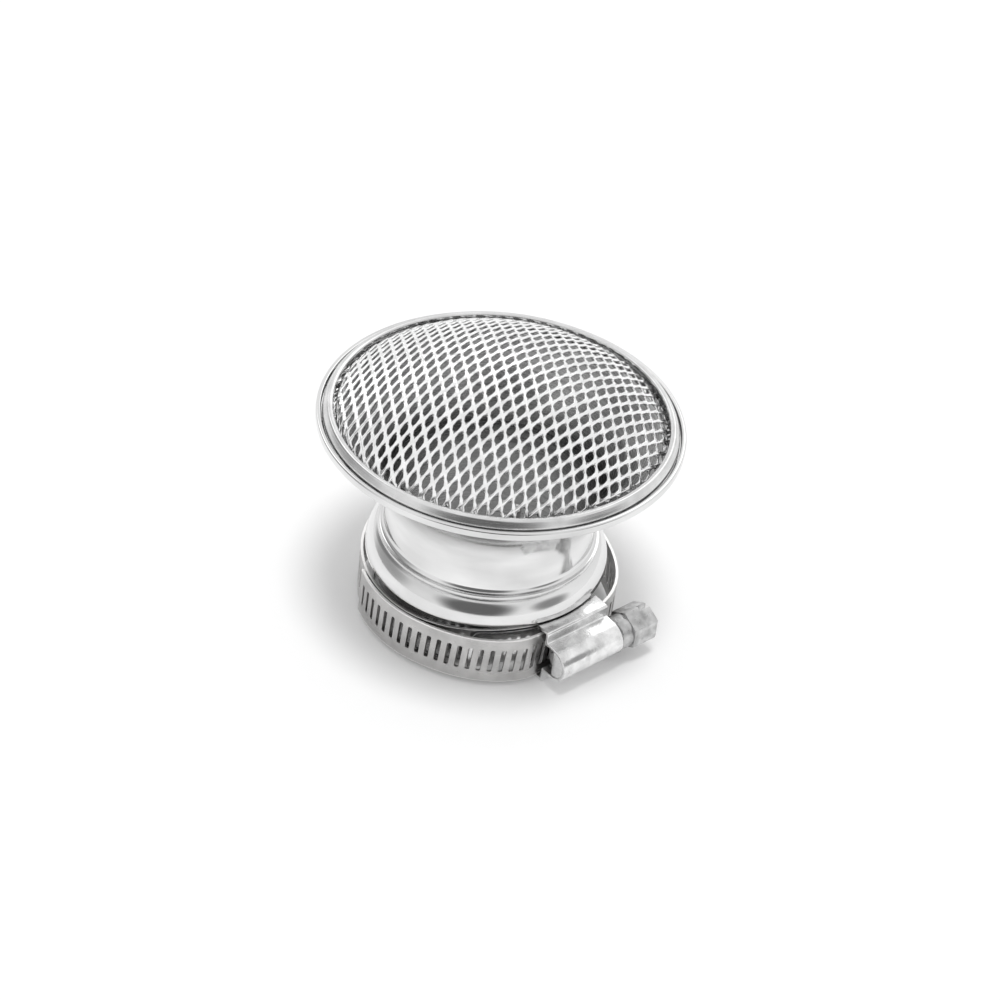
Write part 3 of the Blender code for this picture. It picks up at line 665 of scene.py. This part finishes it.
@dataclass
class Screen:
    """Expanded metal screen: slit and stretched flat, then pressed into a dome with a flat edge."""

    edge_floor: float = 38.5 * MM
    thickness: float = 0.26 * MM
    flange_radius: float = 28.7 * MM
    dome_edge_radius: float = 27.1 * MM
    dome_edge_rise: float = 1.35 * MM
    dome_rise: float = 8.9 * MM
    wall_run: float = 0.25 * MM
    long_pitch: float = 4.39 * MM
    short_pitch: float = 2.416 * MM
    long_angle: float = math.radians(74.1)
    short_angle: float = math.radians(-14.2)
    phase_long: float = 0.5315
    phase_short: float = 0.7933
    strand_width: float = 0.47 * MM
    twist: float = 0.26 * MM
    long_end_crease: float = 1.0
    short_end_crease: float = 0.35
    draw_share: float = 0.0765
    draw_radius: float = 30.75 * MM
    cells: int = 35
    tries: int = 60
    flat_run_in: float = 0.5 * MM
    sharp_angle: float = 60.0

    @property
    def flange_height(self) -> float:
        """Height of the middle of the sheet at its flat edge."""
        return self.edge_floor + self.thickness / 2

    @property
    def sphere_radius(self) -> float:
        """Radius of the pressed dome."""
        return (self.dome_edge_radius ** 2 + self.dome_rise ** 2) / (2 * self.dome_rise)

    def drawn_radius(self, flat: float) -> float:
        """Plan radius of a point of the flat sheet once the sheet is pressed."""
        return flat * (1 - self.draw_share * (flat / self.draw_radius) ** 2)

    def flat_edge(self) -> float:
        """Radius on the flat sheet that ends up at the dome's edge."""
        flat = self.dome_edge_radius
        for _ in range(self.tries):
            flat += self.dome_edge_radius - self.drawn_radius(flat)
        return flat

    def section(self, flat: float, edge: float) -> tuple[float, float, float]:
        """Where a point of the flat sheet goes in the pressed sheet's section.

        Args:
            flat: radius of the point on the flat sheet.
            edge: radius on the flat sheet that ends up at the dome's edge.

        Returns:
            Plan radius, height, and the lean of the sheet's normal away from +Z.
        """
        if flat <= edge:
            radius = self.drawn_radius(flat)
            centre = self.flange_height + self.dome_edge_rise + self.dome_rise - self.sphere_radius
            height = centre + math.sqrt(self.sphere_radius ** 2 - radius ** 2)
            return radius, height, math.asin(radius / self.sphere_radius)
        travel = flat - edge
        wall = math.hypot(self.wall_run, self.dome_edge_rise)
        share = min(travel / wall, 1.0)
        radius = self.dome_edge_radius + self.wall_run * share
        height = self.flange_height + self.dome_edge_rise * (1 - share)
        lean = math.atan2(self.dome_edge_rise, self.wall_run)
        if travel > wall:
            radius = min(radius + travel - wall, self.flange_radius)
            lean *= 1 - eased(travel, wall, wall + self.flat_run_in)
        return radius, height, lean

    def expanded(self) -> Shape:
        """The flat expanded sheet: a lattice whose cells are opened and whose strands are twisted."""
        shape = bmesh.new()
        bmesh.ops.create_grid(shape, x_segments=self.cells, y_segments=self.cells, size=self.cells / 2)
        long_way = Vector((math.cos(self.long_angle), math.sin(self.long_angle))) * self.long_pitch
        short_way = Vector((math.cos(self.short_angle), math.sin(self.short_angle))) * self.short_pitch
        first, second = (long_way + short_way) / 2, (long_way - short_way) / 2
        origin = long_way * self.phase_long + short_way * self.phase_short
        lattice = Matrix(((first.x, second.x, 0, origin.x), (first.y, second.y, 0, origin.y),
                          (0, 0, 1, 0), (0, 0, 0, 1)))
        bmesh.ops.transform(shape, matrix=lattice, verts=shape.verts)
        reach = self.flat_edge() + self.dome_edge_rise + self.flange_radius - self.dome_edge_radius
        outside = [face for face in shape.faces if face.calc_center_median().length > reach]
        bmesh.ops.delete(shape, geom=outside, context='FACES')
        opened = bmesh.ops.inset_individual(shape, faces=shape.faces[:], thickness=self.strand_width / 2,
                                            depth=0.0, use_even_offset=True)
        rims = set(opened["faces"])
        openings = [face for face in shape.faces if face not in rims]
        back = lattice.inverted()
        crease = shape.verts.layers.float.new("crease_vert")
        for face in openings:
            centre = back @ face.calc_center_median()
            for vert in face.verts:
                offset = back @ vert.co - centre
                across, along = offset.x - offset.y, offset.x + offset.y
                if abs(across) > abs(along):
                    vert.co.z += math.copysign(self.twist, across)
                    vert[crease] = self.short_end_crease
                else:
                    vert[crease] = self.long_end_crease
        bmesh.ops.delete(shape, geom=openings, context='FACES')
        return shape

    def build(self) -> None:
        """Expand the sheet, give it its thickness, press it and dress it."""
        made = object_from("screen_pressed", self.expanded(), self.sharp_angle)
        thicken(made, self.thickness)
        rounding = made.modifiers.new("rounding", 'SUBSURF')
        rounding.levels = rounding.render_levels = 1
        settle(made)
        edge = self.flat_edge()
        for vert in made.data.vertices:
            flat = Vector((vert.co.x, vert.co.y))
            radius, height, lean = self.section(flat.length, edge)
            outward = flat.normalized() if flat.length else Vector((1.0, 0.0))
            reach = radius + vert.co.z * math.sin(lean)
            vert.co = (outward.x * reach, outward.y * reach, height + vert.co.z * math.cos(lean))
        made.data.shade_smooth()
        fit(made, [STRANDS], Body.STACK, "mesh_dome")


@dataclass
class CrimpRing:
    """Rolled ring that stands in the lip's ledge and folds over the screen's edge."""

    outer_radius: float = 29.65 * MM
    width: float = 1.75 * MM
    foot: float = 38.5 * MM
    top: float = 40.5 * MM
    top_fall: float = 1.2 * MM
    inner_fall: float = 0.12 * MM
    crest: float = 1.0 * MM
    skirt: float = 0.6 * MM
    leaf: float = 0.85 * MM
    edge_round: float = 0.3 * MM
    crest_round: float = 0.35 * MM
    inside_round: float = 0.1 * MM
    spin_steps: int = 192

    def outline(self) -> list[Corner]:
        """Section of the ring: a skirt outside and a leaf that reaches in over the screen."""
        inner = self.outer_radius - self.width
        skirt = self.outer_radius - self.skirt
        under = self.top - self.leaf
        return [(inner, under, 2 * self.inside_round),
                (inner, self.top - self.inner_fall, self.edge_round),
                (inner + self.crest, self.top, self.crest_round),
                (self.outer_radius, self.top - self.top_fall, self.edge_round),
                (self.outer_radius, self.foot, self.inside_round), (skirt, self.foot, self.inside_round),
                (skirt, under, self.inside_round)]

    def build(self) -> None:
        """Turn the ring and dress it."""
        made = object_from("ring_rolled", turned(self.outline(), self.spin_steps))
        fit(made, [SATIN], Body.STACK, "rim_ring")


@dataclass
class StripPath:
    """Course of the clamp's strip: a loose lap round the spigot, then a lap outside it as a free tail.

    Attributes:
        plan: distance, place and outward normal at each step along the strip.
    """

    loop_radius: float = 21.6 * MM
    shift: float = 0.5 * MM
    shift_angle: float = math.radians(45.0)
    flat_depth: float = 1.9 * MM
    flat_angle: float = math.radians(-62.0)
    flat_half_width: float = math.radians(65.0)
    start_angle: float = math.radians(-33.0)
    end_angle: float = math.radians(-158.0)
    rise_from: float = math.radians(27.0)
    rise_to: float = math.radians(-25.0)
    layer_rise: float = 1.6 * MM
    tail_radius: float = 22.6 * MM
    tail_end_radius: float = 21.85 * MM
    leave_from: float = math.radians(-50.0)
    leave_to: float = math.radians(-70.0)
    settle_from: float = math.radians(-75.0)
    settle_to: float = math.radians(-115.0)
    plan: list[tuple[float, Vector, Vector]] = field(default_factory=list)

    def __post_init__(self) -> None:
        """Measure the course once, at every degree of travel."""
        total = math.tau + self.start_angle - self.end_angle
        count = int(math.degrees(total))
        points = [self.point(total * i / count) for i in range(count + 1)]
        distance = 0.0
        for i, at in enumerate(points):
            if i:
                distance += (at - points[i - 1]).length
            ahead = (points[min(i + 1, count)] - points[max(i - 1, 0)]).normalized()
            self.plan.append((distance, at, Vector((-ahead.y, ahead.x))))

    def lap(self, angle: float) -> float:
        """Radius of the inner lap, off centre and flattened towards the screw."""
        radius = self.loop_radius + self.shift * math.cos(angle - self.shift_angle)
        away = abs((angle - self.flat_angle + math.pi) % math.tau - math.pi)
        if away >= self.flat_half_width:
            return radius
        return radius - self.flat_depth / 2 * (1 + math.cos(math.pi * away / self.flat_half_width))

    def point(self, travel: float) -> Vector:
        """Plan point of the strip's middle after an angle of travel clockwise from its fixed end."""
        angle = self.start_angle - travel
        second = angle + math.tau
        radius = self.lap(angle) + self.layer_rise * eased(second, self.rise_from, self.rise_to)
        settled = eased(second, self.settle_from, self.settle_to)
        tail = self.tail_radius + (self.tail_end_radius - self.tail_radius) * settled
        radius += (tail - radius) * eased(second, self.leave_from, self.leave_to)
        return Vector((radius * math.cos(angle), radius * math.sin(angle)))

    @property
    def length(self) -> float:
        """Length of the strip."""
        return self.plan[-1][0]

    def at(self, distance: float) -> Vector:
        """Plan point at a distance along the strip."""
        ahead = bisect(self.plan, distance, 1, len(self.plan) - 1, key=lambda entry: entry[0])
        (start, low, _), (end, high, _) = self.plan[ahead - 1:ahead + 1]
        return low.lerp(high, (distance - start) / (end - start))


@dataclass
class HoseClamp:
    """Worm drive hose clamp: slotted strip, folded housing with its saddle, and the screw."""

    path: StripPath = field(default_factory=StripPath)
    height: float = 5.4 * MM
    gap: float = 0.3 * MM
    strip_width: float = 9.0 * MM
    strip_thickness: float = 0.5 * MM
    slot_pitch: float = 1.832 * MM
    slot_width: float = 0.76 * MM
    slot_length: float = 4.7 * MM
    slot_corner: float = 0.3 * MM
    slot_lean: float = math.radians(4.5)
    plain_start: float = 20.0 * MM
    plain_end: float = 0.82 * MM
    wall: float = 0.6 * MM
    saddle_thickness: float = 0.5 * MM
    saddle_from: float = math.radians(-27.6)
    saddle_to: float = math.radians(-92.0)
    tongue_inset: float = 0.2 * MM
    tongue_corner: float = 1.6 * MM
    inner_reach: float = 19.6 * MM
    tail_end: float = -5.2 * MM
    head_end: float = 8.0 * MM
    screw_angle: float = math.radians(-46.0)
    worm_radius: float = 2.3 * MM
    thread_depth: float = 0.55 * MM
    shank_radius: float = 1.5 * MM
    collar_radius: float = 3.0 * MM
    collar_length: float = 2.9 * MM
    head_across_flats: float = 6.3 * MM
    head_length: float = 4.8 * MM
    head_chamfer: float = 0.45 * MM
    head_slot_width: float = 1.1 * MM
    head_slot_depth: float = 2.4 * MM
    cover_steps: int = 20
    tip_lift: float = 1.9 * MM
    saddle_steps: int = 36
    saddle_step: float = 0.005
    thread_steps: int = 32
    spin_steps: int = 48
    thread_sink: float = 0.15 * MM
    thread_share: float = 0.6
    crest_share: float = 0.4
    edge_round: float = 0.1 * MM
    outer_fold: float = 0.45 * MM
    inner_fold: float = 0.3 * MM
    fold_step: float = 0.05 * MM
    collar_round: float = 0.3 * MM
    collar_top_round: float = 0.35 * MM
    strip_edge: float = 0.06 * MM
    pressed_edge: float = 0.12 * MM
    saddle_edge: float = 0.08 * MM
    edge_limit: float = 50.0
    head_edge_limit: float = 30.0
    sharp_angle: float = 40.0

    @property
    def outward(self) -> Vector:
        """Direction from the trumpet's axis to the screw."""
        return Vector((math.cos(self.screw_angle), math.sin(self.screw_angle), 0))

    @property
    def along(self) -> Vector:
        """Direction of the screw from its tip to its head."""
        return Vector((-self.outward.y, self.outward.x, 0))

    @property
    def strip_reach(self) -> float:
        """How far the strip's outer face reaches towards the screw inside the housing."""
        outward, along = self.outward.xy, self.along.xy
        return max((at + normal * (self.strip_thickness / 2)).dot(outward)
                   for _, at, normal in self.path.plan
                   if self.tail_end < at.dot(along) < self.head_end and at.dot(outward) > 0)

    @property
    def screw_reach(self) -> float:
        """Distance of the screw's axis from the trumpet's axis."""
        return self.strip_reach + self.gap + self.worm_radius

    def across(self) -> Matrix:
        """Turns (up, along, outward) of the housing into the frame."""
        turn = Matrix((Vector((0, 0, 1)), self.along, self.outward)).transposed().to_4x4()
        return Matrix.Translation((0, 0, self.height)) @ turn

    def flat_strip(self) -> Shape:
        """The punched strip before it is bent: X along it, Y up, with round-cornered leaning slots."""
        last = self.path.length - self.plain_end
        start = last % self.slot_pitch
        first = last - (last - self.plain_start) // self.slot_pitch * self.slot_pitch
        inset = (self.slot_pitch - self.slot_width) / 2
        shape = bmesh.new()
        bmesh.ops.create_grid(shape, x_segments=int(last / self.slot_pitch), y_segments=3, size=0.5)
        bmesh.ops.scale(shape, vec=(last - start, self.strip_width, 1), verts=shape.verts)
        bmesh.ops.translate(shape, vec=((last + start) / 2, 0, 0), verts=shape.verts)
        inner_rows = [v for v in shape.verts if abs(v.co.y) < self.strip_width / 4]
        row = self.slot_length / 2 + inset
        bmesh.ops.scale(shape, vec=(1, row / (self.strip_width / 6), 1), verts=inner_rows)
        for x, edge_x in ((self.path.length, last), (0.0, start)):
            rim = [e for e in shape.edges
                   if e.is_boundary and all(abs(v.co.x - edge_x) < SAME_PLACE for v in e.verts)]
            shift_made(shape, bmesh.ops.extrude_edge_only(shape, edges=rim), (x - edge_x, 0, 0))
        slotted = [f for f in shape.faces if abs(f.calc_center_median().y) < self.slot_length / 4
                   and first < f.calc_center_median().x < last]
        bmesh.ops.inset_individual(shape, faces=slotted, thickness=inset, use_even_offset=True)
        bevel(shape, list({v for f in slotted for v in f.verts}), self.slot_corner, 2, 'VERTICES')
        punched = [f for f in shape.faces if first < f.calc_center_median().x < last and self.is_slot(f)]
        bmesh.ops.delete(shape, geom=punched, context='FACES')
        for vert in shape.verts:
            if abs(vert.co.y) < self.strip_width / 2 - SAME_PLACE:
                vert.co.x -= vert.co.y * math.tan(self.slot_lean)
        return shape

    def is_slot(self, face: bmesh.types.BMFace) -> bool:
        """Whether a face of the flat strip is as long and as wide as a slot."""
        spans = [max(v.co[k] for v in face.verts) - min(v.co[k] for v in face.verts) for k in (0, 1)]
        return all(abs(found - wanted) < self.strip_edge
                   for found, wanted in zip(spans, (self.slot_width, self.slot_length)))

    def build_band(self) -> None:
        """Punch the strip flat, bend it along its course, and give it its thickness and soft edges."""
        shape = self.flat_strip()
        for vert in shape.verts:
            at = self.path.at(min(max(vert.co.x, 0.0), self.path.length))
            vert.co = (at.x, at.y, self.height + vert.co.y)
        bmesh.ops.recalc_face_normals(shape, faces=shape.faces)
        made = object_from("strip_slotted", shape)
        thicken(made, self.strip_thickness)
        soft = made.modifiers.new("soft_edges", 'BEVEL')
        soft.width = self.strip_edge
        soft.segments = 1
        soft.limit_method = 'ANGLE'
        soft.angle_limit = math.radians(self.edge_limit)
        settle(made)
        shade(made.data, self.sharp_angle)
        finish = replace(STRIP, middle=self.height, half_width=self.strip_width / 2)
        fit(made, [finish], Body.STACK, "clamp_band")

    def cover_section(self) -> list[Corner]:
        """Section of the cover as (up, outward, rounding): side walls, shoulders and round top."""
        reach = self.screw_reach
        inner_round = self.worm_radius + self.gap
        outer_round = inner_round + self.wall
        inner_half = self.strip_width / 2 + self.gap
        outer_half = inner_half + self.wall
        low = self.strip_reach + self.gap
        high = low + self.wall
        outer = [(outer_half, self.inner_reach, self.edge_round), (outer_half, high, self.outer_fold),
                 (outer_round + self.fold_step, high, self.inner_fold)]
        outer += arc((0, reach), (outer_round, outer_round), 0, 180, self.cover_steps)[1:-1]
        outer += [(-x, z, r) for x, z, r in outer[2::-1]]
        inner = [(inner_half, self.inner_reach, self.edge_round), (inner_half, low, self.edge_round),
                 (inner_round, low, self.edge_round)]
        inner += arc((0, reach), (inner_round, inner_round), 0, 180, self.cover_steps)
        inner += [(-x, z, r) for x, z, r in inner[2::-1]]
        return outer + inner[::-1]

    def end_wall(self, start: float, hole: float, lift: float) -> Shape:
        """Half round wall that closes one end of the cover.

        Args:
            start: where it starts along the screw.
            hole: radius of the hole for the shank, or 0.
            lift: height of the gap left open between the wall's foot and the strip.

        Returns:
            The wall in (up, along, outward).
        """
        radius = self.worm_radius + self.gap + self.wall / 2
        foot = self.strip_reach + self.gap + self.wall / 2 + lift
        corners = [(radius, foot, 0.0), (-radius, foot, 0.0)]
        corners[1:1] = arc((0, self.screw_reach), (radius, radius), 0, 180, self.cover_steps)
        if hole:
            corners += [(-hole, foot, 0.0), (hole, foot, 0.0)]
            corners[-1:-1] = arc((0, self.screw_reach), (hole, hole), 180, 0, self.cover_steps)
        return drawn_out(corners, start, start + self.wall * 3 / 4)

    def saddle(self) -> Shape:
        """The curved plate under the strip's outer lap, wide in the housing and narrow as its tongue."""
        bend = self.path.loop_radius
        wide = self.strip_width / 2 + self.gap + self.wall / 2
        narrow = self.strip_width / 2 - self.tongue_inset
        step = self.screw_angle * bend + math.atan2(self.tail_end, bend) * bend
        start, end = self.saddle_from * bend, self.saddle_to * bend
        run = self.saddle_step * bend
        half = [(start, wide), (step + run, wide), (step - run, narrow), (end, narrow)]
        whole = half + [(x, -y) for x, y in half[::-1]]
        shape = bmesh.new()
        face = shape.faces.new([shape.verts.new((x, y, 0)) for x, y in whole])
        tips = [v for v in face.verts if v.co.x < end + SAME_PLACE]
        bevel(shape, tips, self.tongue_corner, 4, 'VERTICES')
        for i in range(1, self.saddle_steps):
            bmesh.ops.bisect_plane(shape, geom=shape.verts[:] + shape.edges[:] + shape.faces[:],
                                   plane_co=(start + (end - start) * i / self.saddle_steps, 0, 0),
                                   plane_no=(1, 0, 0))
        shift_made(shape, bmesh.ops.extrude_face_region(shape, geom=shape.faces[:]),
                   (0, 0, self.saddle_thickness))
        for vert in shape.verts:
            angle = vert.co.x / bend
            radius = self.path.lap(angle) + self.strip_thickness / 2 + self.gap + vert.co.z
            vert.co = (radius * math.cos(angle), radius * math.sin(angle), self.height + vert.co.y)
        bmesh.ops.recalc_face_normals(shape, faces=shape.faces)
        return shape

    def build_housing(self) -> None:
        """Fold the cover, close its ends, add the saddle and dress it."""
        pressed = [drawn_out(self.cover_section(), self.tail_end, self.head_end),
                   self.end_wall(self.tail_end + self.wall / 4, 0.0, self.tip_lift),
                   self.end_wall(self.head_end - self.wall, self.shank_radius + self.gap, 0.0)]
        for shape in pressed:
            break_edges(shape, self.pressed_edge, self.edge_limit)
            bmesh.ops.transform(shape, matrix=self.across(), verts=shape.verts)
            bmesh.ops.recalc_face_normals(shape, faces=shape.faces)
        plate = self.saddle()
        break_edges(plate, self.saddle_edge, self.edge_limit)
        made = object_from("housing_pressed", joined(pressed + [plate]))
        fit(made, [PLATED], Body.STACK, "clamp_housing")

    def thread(self, start: float, end: float) -> Shape:
        """The worm's single thread, swept round the screw's axis from one end of the worm to the other.

        Args:
            start: height of its first turn on the axis.
            end: height where it runs out.

        Returns:
            The closed thread along Z.
        """
        root = self.worm_radius - self.thread_depth - self.thread_sink
        half = self.slot_pitch * self.thread_share / 2
        turns = (end - start - 2 * half) / self.slot_pitch
        crest = half * self.crest_share
        corners = [(root, -half, 0.0), (self.worm_radius, -crest, self.edge_round),
                   (self.worm_radius, crest, self.edge_round), (root, half, 0.0)]
        shape = rounded_face(corners, 2)
        bmesh.ops.translate(shape, vec=(0, 0, start + half), verts=shape.verts)
        steps = int(turns * self.thread_steps)
        bmesh.ops.spin(shape, geom=shape.faces[:], cent=(0, 0, 0), axis=(0, 0, 1),
                       dvec=(0, 0, turns * self.slot_pitch / steps), angle=math.tau * turns, steps=steps,
                       use_duplicate=False)
        bmesh.ops.recalc_face_normals(shape, faces=shape.faces)
        return shape

    def shank(self, tip: float, worm_end: float, collar_start: float, collar_end: float) -> Shape:
        """Core of the worm, neck through the housing's end, and collar, turned in one."""
        root = self.worm_radius - self.thread_depth
        corners = [(0.0, tip, 0.0), (root, tip, 2 * self.edge_round), (root, worm_end, self.edge_round),
                   (self.shank_radius, worm_end, 0.0), (self.shank_radius, collar_start, 0.0),
                   (self.collar_radius, collar_start, self.collar_round),
                   (self.collar_radius, collar_end, self.collar_top_round), (0.0, collar_end, 0.0)]
        return turned(corners, self.spin_steps)

    def hexagon(self, start: float, end: float) -> Shape:
        """The head: a six sided bar with chamfered corners."""
        shape = bmesh.new()
        corner = self.head_across_flats / math.sqrt(3)
        bmesh.ops.create_cone(shape, cap_ends=True, segments=6, radius1=corner, radius2=corner,
                              depth=end - start)
        bmesh.ops.rotate(shape, cent=(0, 0, 0), matrix=Matrix.Rotation(math.radians(30.0), 3, 'Z'),
                         verts=shape.verts)
        bmesh.ops.translate(shape, vec=(0, 0, (start + end) / 2), verts=shape.verts)
        top = [e for e in shape.edges if all(v.co.z > end - SAME_PLACE for v in e.verts)]
        bevel(shape, top, self.head_chamfer, 2)
        return shape

    def build_screw(self) -> None:
        """Make the screw along Z, lay it across the spigot and dress it."""
        tip = self.tail_end + self.wall + self.gap
        worm_end = self.head_end - self.wall - self.gap
        collar_start = self.head_end + self.gap
        collar_end = collar_start + self.collar_length
        head_end = collar_end + self.head_length
        head = object_from("screw_head_blank", self.hexagon(collar_end - self.wall, head_end))
        slot = (4 * self.collar_radius, self.head_slot_width, 2 * self.head_slot_depth)
        cut_with(head, block(slot, (0, 0, head_end)))
        sawn = bmesh.new()
        sawn.from_mesh(head.data)
        bpy.data.objects.remove(head, do_unlink=True)
        break_edges(sawn, self.edge_round, self.head_edge_limit)
        shank = self.shank(tip, worm_end, collar_start, collar_end)
        whole = joined([shank, self.thread(tip, worm_end), sawn])
        lie = Matrix.Translation((0, 0, self.screw_reach)) @ Matrix.Rotation(-math.pi / 2, 4, 'X')
        bmesh.ops.transform(whole, matrix=self.across() @ lie, verts=whole.verts)
        made = object_from("screw_slotted", whole)
        fit(made, [ZINC], Body.SCREW, "clamp_screw")

    def build(self) -> None:
        """Build the strip, the housing and the screw."""
        self.build_band()
        self.build_housing()
        self.build_screw()


def direction(azimuth: float, elevation: float) -> Vector:
    """Unit vector towards an azimuth and an elevation, in degrees."""
    turn, lift = math.radians(azimuth), math.radians(elevation)
    return Vector((math.cos(lift) * math.cos(turn), math.cos(lift) * math.sin(turn), math.sin(lift)))


@dataclass(frozen=True)
class Card:
    """A soft-edged patch of the room, light or dim, that only the metal shows, with angles in degrees."""

    azimuth: float
    elevation: float
    inner: float
    outer: float
    light: float


@dataclass
class Studio:
    """Camera at the photograph's angle, pale floor, white background and soft lamps."""

    elevation: float = 0.6641
    roll: float = 0.1240
    shift_right: float = 0.3252 * MM
    shift_down: float = -13.6804 * MM
    distance: float = 441.0 * MM
    lens: float = 96.2
    sensor: float = 36.0
    target_height: float = 39.1 * MM
    floor_size: float = 4.0
    floor_gap: float = 0.1 * MM
    floor_tone: float = 0.85
    floor_glow: float = 0.10
    fill_light: float = 0.72
    lamp_azimuth: float = -86.3
    lamp_elevation: float = 84.0
    lamp_spread: float = math.radians(16.0)
    lamp_power: float = 1.3
    room_light: float = 0.95
    cards: tuple[Card, ...] = (
        Card(-92.0, 22.0, 18.0, 40.0, 0.16), Card(-25.0, 14.0, 6.0, 22.0, 0.30),
        Card(150.0, 38.0, 5.0, 28.0, 0.25), Card(175.0, 12.0, 6.0, 34.0, 0.45),
        Card(124.5, 43.7, 2.0, 16.0, 2.0), Card(70.5, 38.6, 2.0, 16.0, 2.0))

    def make_camera(self) -> None:
        """Set the camera so that the object fills the frame as in the photograph."""
        lens = bpy.data.cameras.new("camera")
        lens.lens = self.lens
        lens.sensor_width = self.sensor
        lens.sensor_fit = 'HORIZONTAL'
        lens.clip_start = 0.01
        camera = bpy.data.objects.new("camera", lens)
        turn = Matrix.Rotation(math.pi / 2 - self.elevation, 4, 'X') @ Matrix.Rotation(self.roll, 4, 'Z')
        back = Matrix.Translation((-self.shift_right, self.shift_down, self.distance))
        camera.matrix_world = Matrix.Translation((0, 0, self.target_height)) @ turn @ back
        bpy.context.scene.collection.objects.link(camera)
        bpy.context.scene.camera = camera

    def make_world(self) -> None:
        """Light evenly, show white to the camera, and a pale room with a dim side in the metal."""
        world = bpy.data.worlds.new("studio")
        graph = Graph(world, "Background")
        path = graph.add("ShaderNodeLightPath", {})
        ahead = graph.add("ShaderNodeTexCoord", {}).outputs["Generated"]
        room: object = self.room_light
        for card in self.cards:
            towards = direction(card.azimuth, card.elevation)
            facing = graph.add("ShaderNodeVectorMath", {0: ahead, 1: towards}, operation='DOT_PRODUCT')
            limits = {"Value": facing.outputs["Value"], "From Min": math.cos(math.radians(card.outer)),
                      "From Max": math.cos(math.radians(card.inner))}
            share = graph.add("ShaderNodeMapRange", limits, interpolation_type='SMOOTHSTEP')
            room = graph.blend(share.outputs["Result"], room, card.light)
        seen = graph.blend(path.outputs["Is Glossy Ray"], self.fill_light, room)
        clear = graph.math('MAXIMUM', path.outputs["Is Camera Ray"], path.outputs["Is Transmission Ray"])
        level = graph.blend(clear, seen, 1.0)
        graph.feed(graph.shader["Strength"], level)
        graph.feed(graph.shader["Color"], grey(1.0))
        bpy.context.scene.world = world

    def make_floor(self) -> None:
        """Lay a pale floor that keeps the object's shadow."""
        shape = bmesh.new()
        bmesh.ops.create_grid(shape, x_segments=1, y_segments=1, size=self.floor_size / 2)
        bmesh.ops.translate(shape, vec=(0, 0, -self.floor_gap), verts=shape.verts)
        floor = object_from("studio_floor", shape)
        paint = bpy.data.materials.new("pale_floor")
        graph = Graph(paint, "Principled BSDF")
        looks = {"Roughness": 0.9, "Specular IOR Level": 0.0, "Base Color": grey(self.floor_tone),
                 "Emission Color": grey(1.0), "Emission Strength": self.floor_glow}
        for name, value in looks.items():
            graph.feed(graph.shader[name], value)
        floor.data.materials.append(paint)
        floor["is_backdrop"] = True

    def make_lamp(self) -> None:
        """Light the floor evenly from above, so that the shadow stays soft and close to the foot."""
        lamp = bpy.data.lights.new("lamp_overhead", 'SUN')
        lamp.angle = self.lamp_spread
        lamp.energy = self.lamp_power
        made = bpy.data.objects.new("lamp_overhead", lamp)
        made.visible_glossy = False
        towards = direction(self.lamp_azimuth, self.lamp_elevation)
        made.matrix_world = towards.to_track_quat('Z', 'Y').to_matrix().to_4x4()
        bpy.context.scene.collection.objects.link(made)

    def build(self) -> None:
        """Set the camera, the world, the floor and the lamps."""
        self.make_camera()
        self.make_world()
        self.make_floor()
        self.make_lamp()
        bpy.context.scene.view_settings.view_transform = 'Standard'


def plain(bounds: Sequence[Sequence[float]]) -> list[list[float]]:
    """Corners of a box as plain lists."""
    return [[float(value) for value in corner] for corner in bounds]


def main(cad_bounds: list[list[float]]) -> None:
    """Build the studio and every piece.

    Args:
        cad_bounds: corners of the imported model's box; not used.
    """
    logging.basicConfig(level=logging.INFO, format="%(name)s: %(message)s")
    assemblies = (Studio(), Trumpet(), Screen(), CrimpRing(), HoseClamp())
    for assembly in assemblies:
        assembly.build()
        LOG.info("%s built", type(assembly).__name__)


if __name__ == "__main__":
    main(plain(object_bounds()))
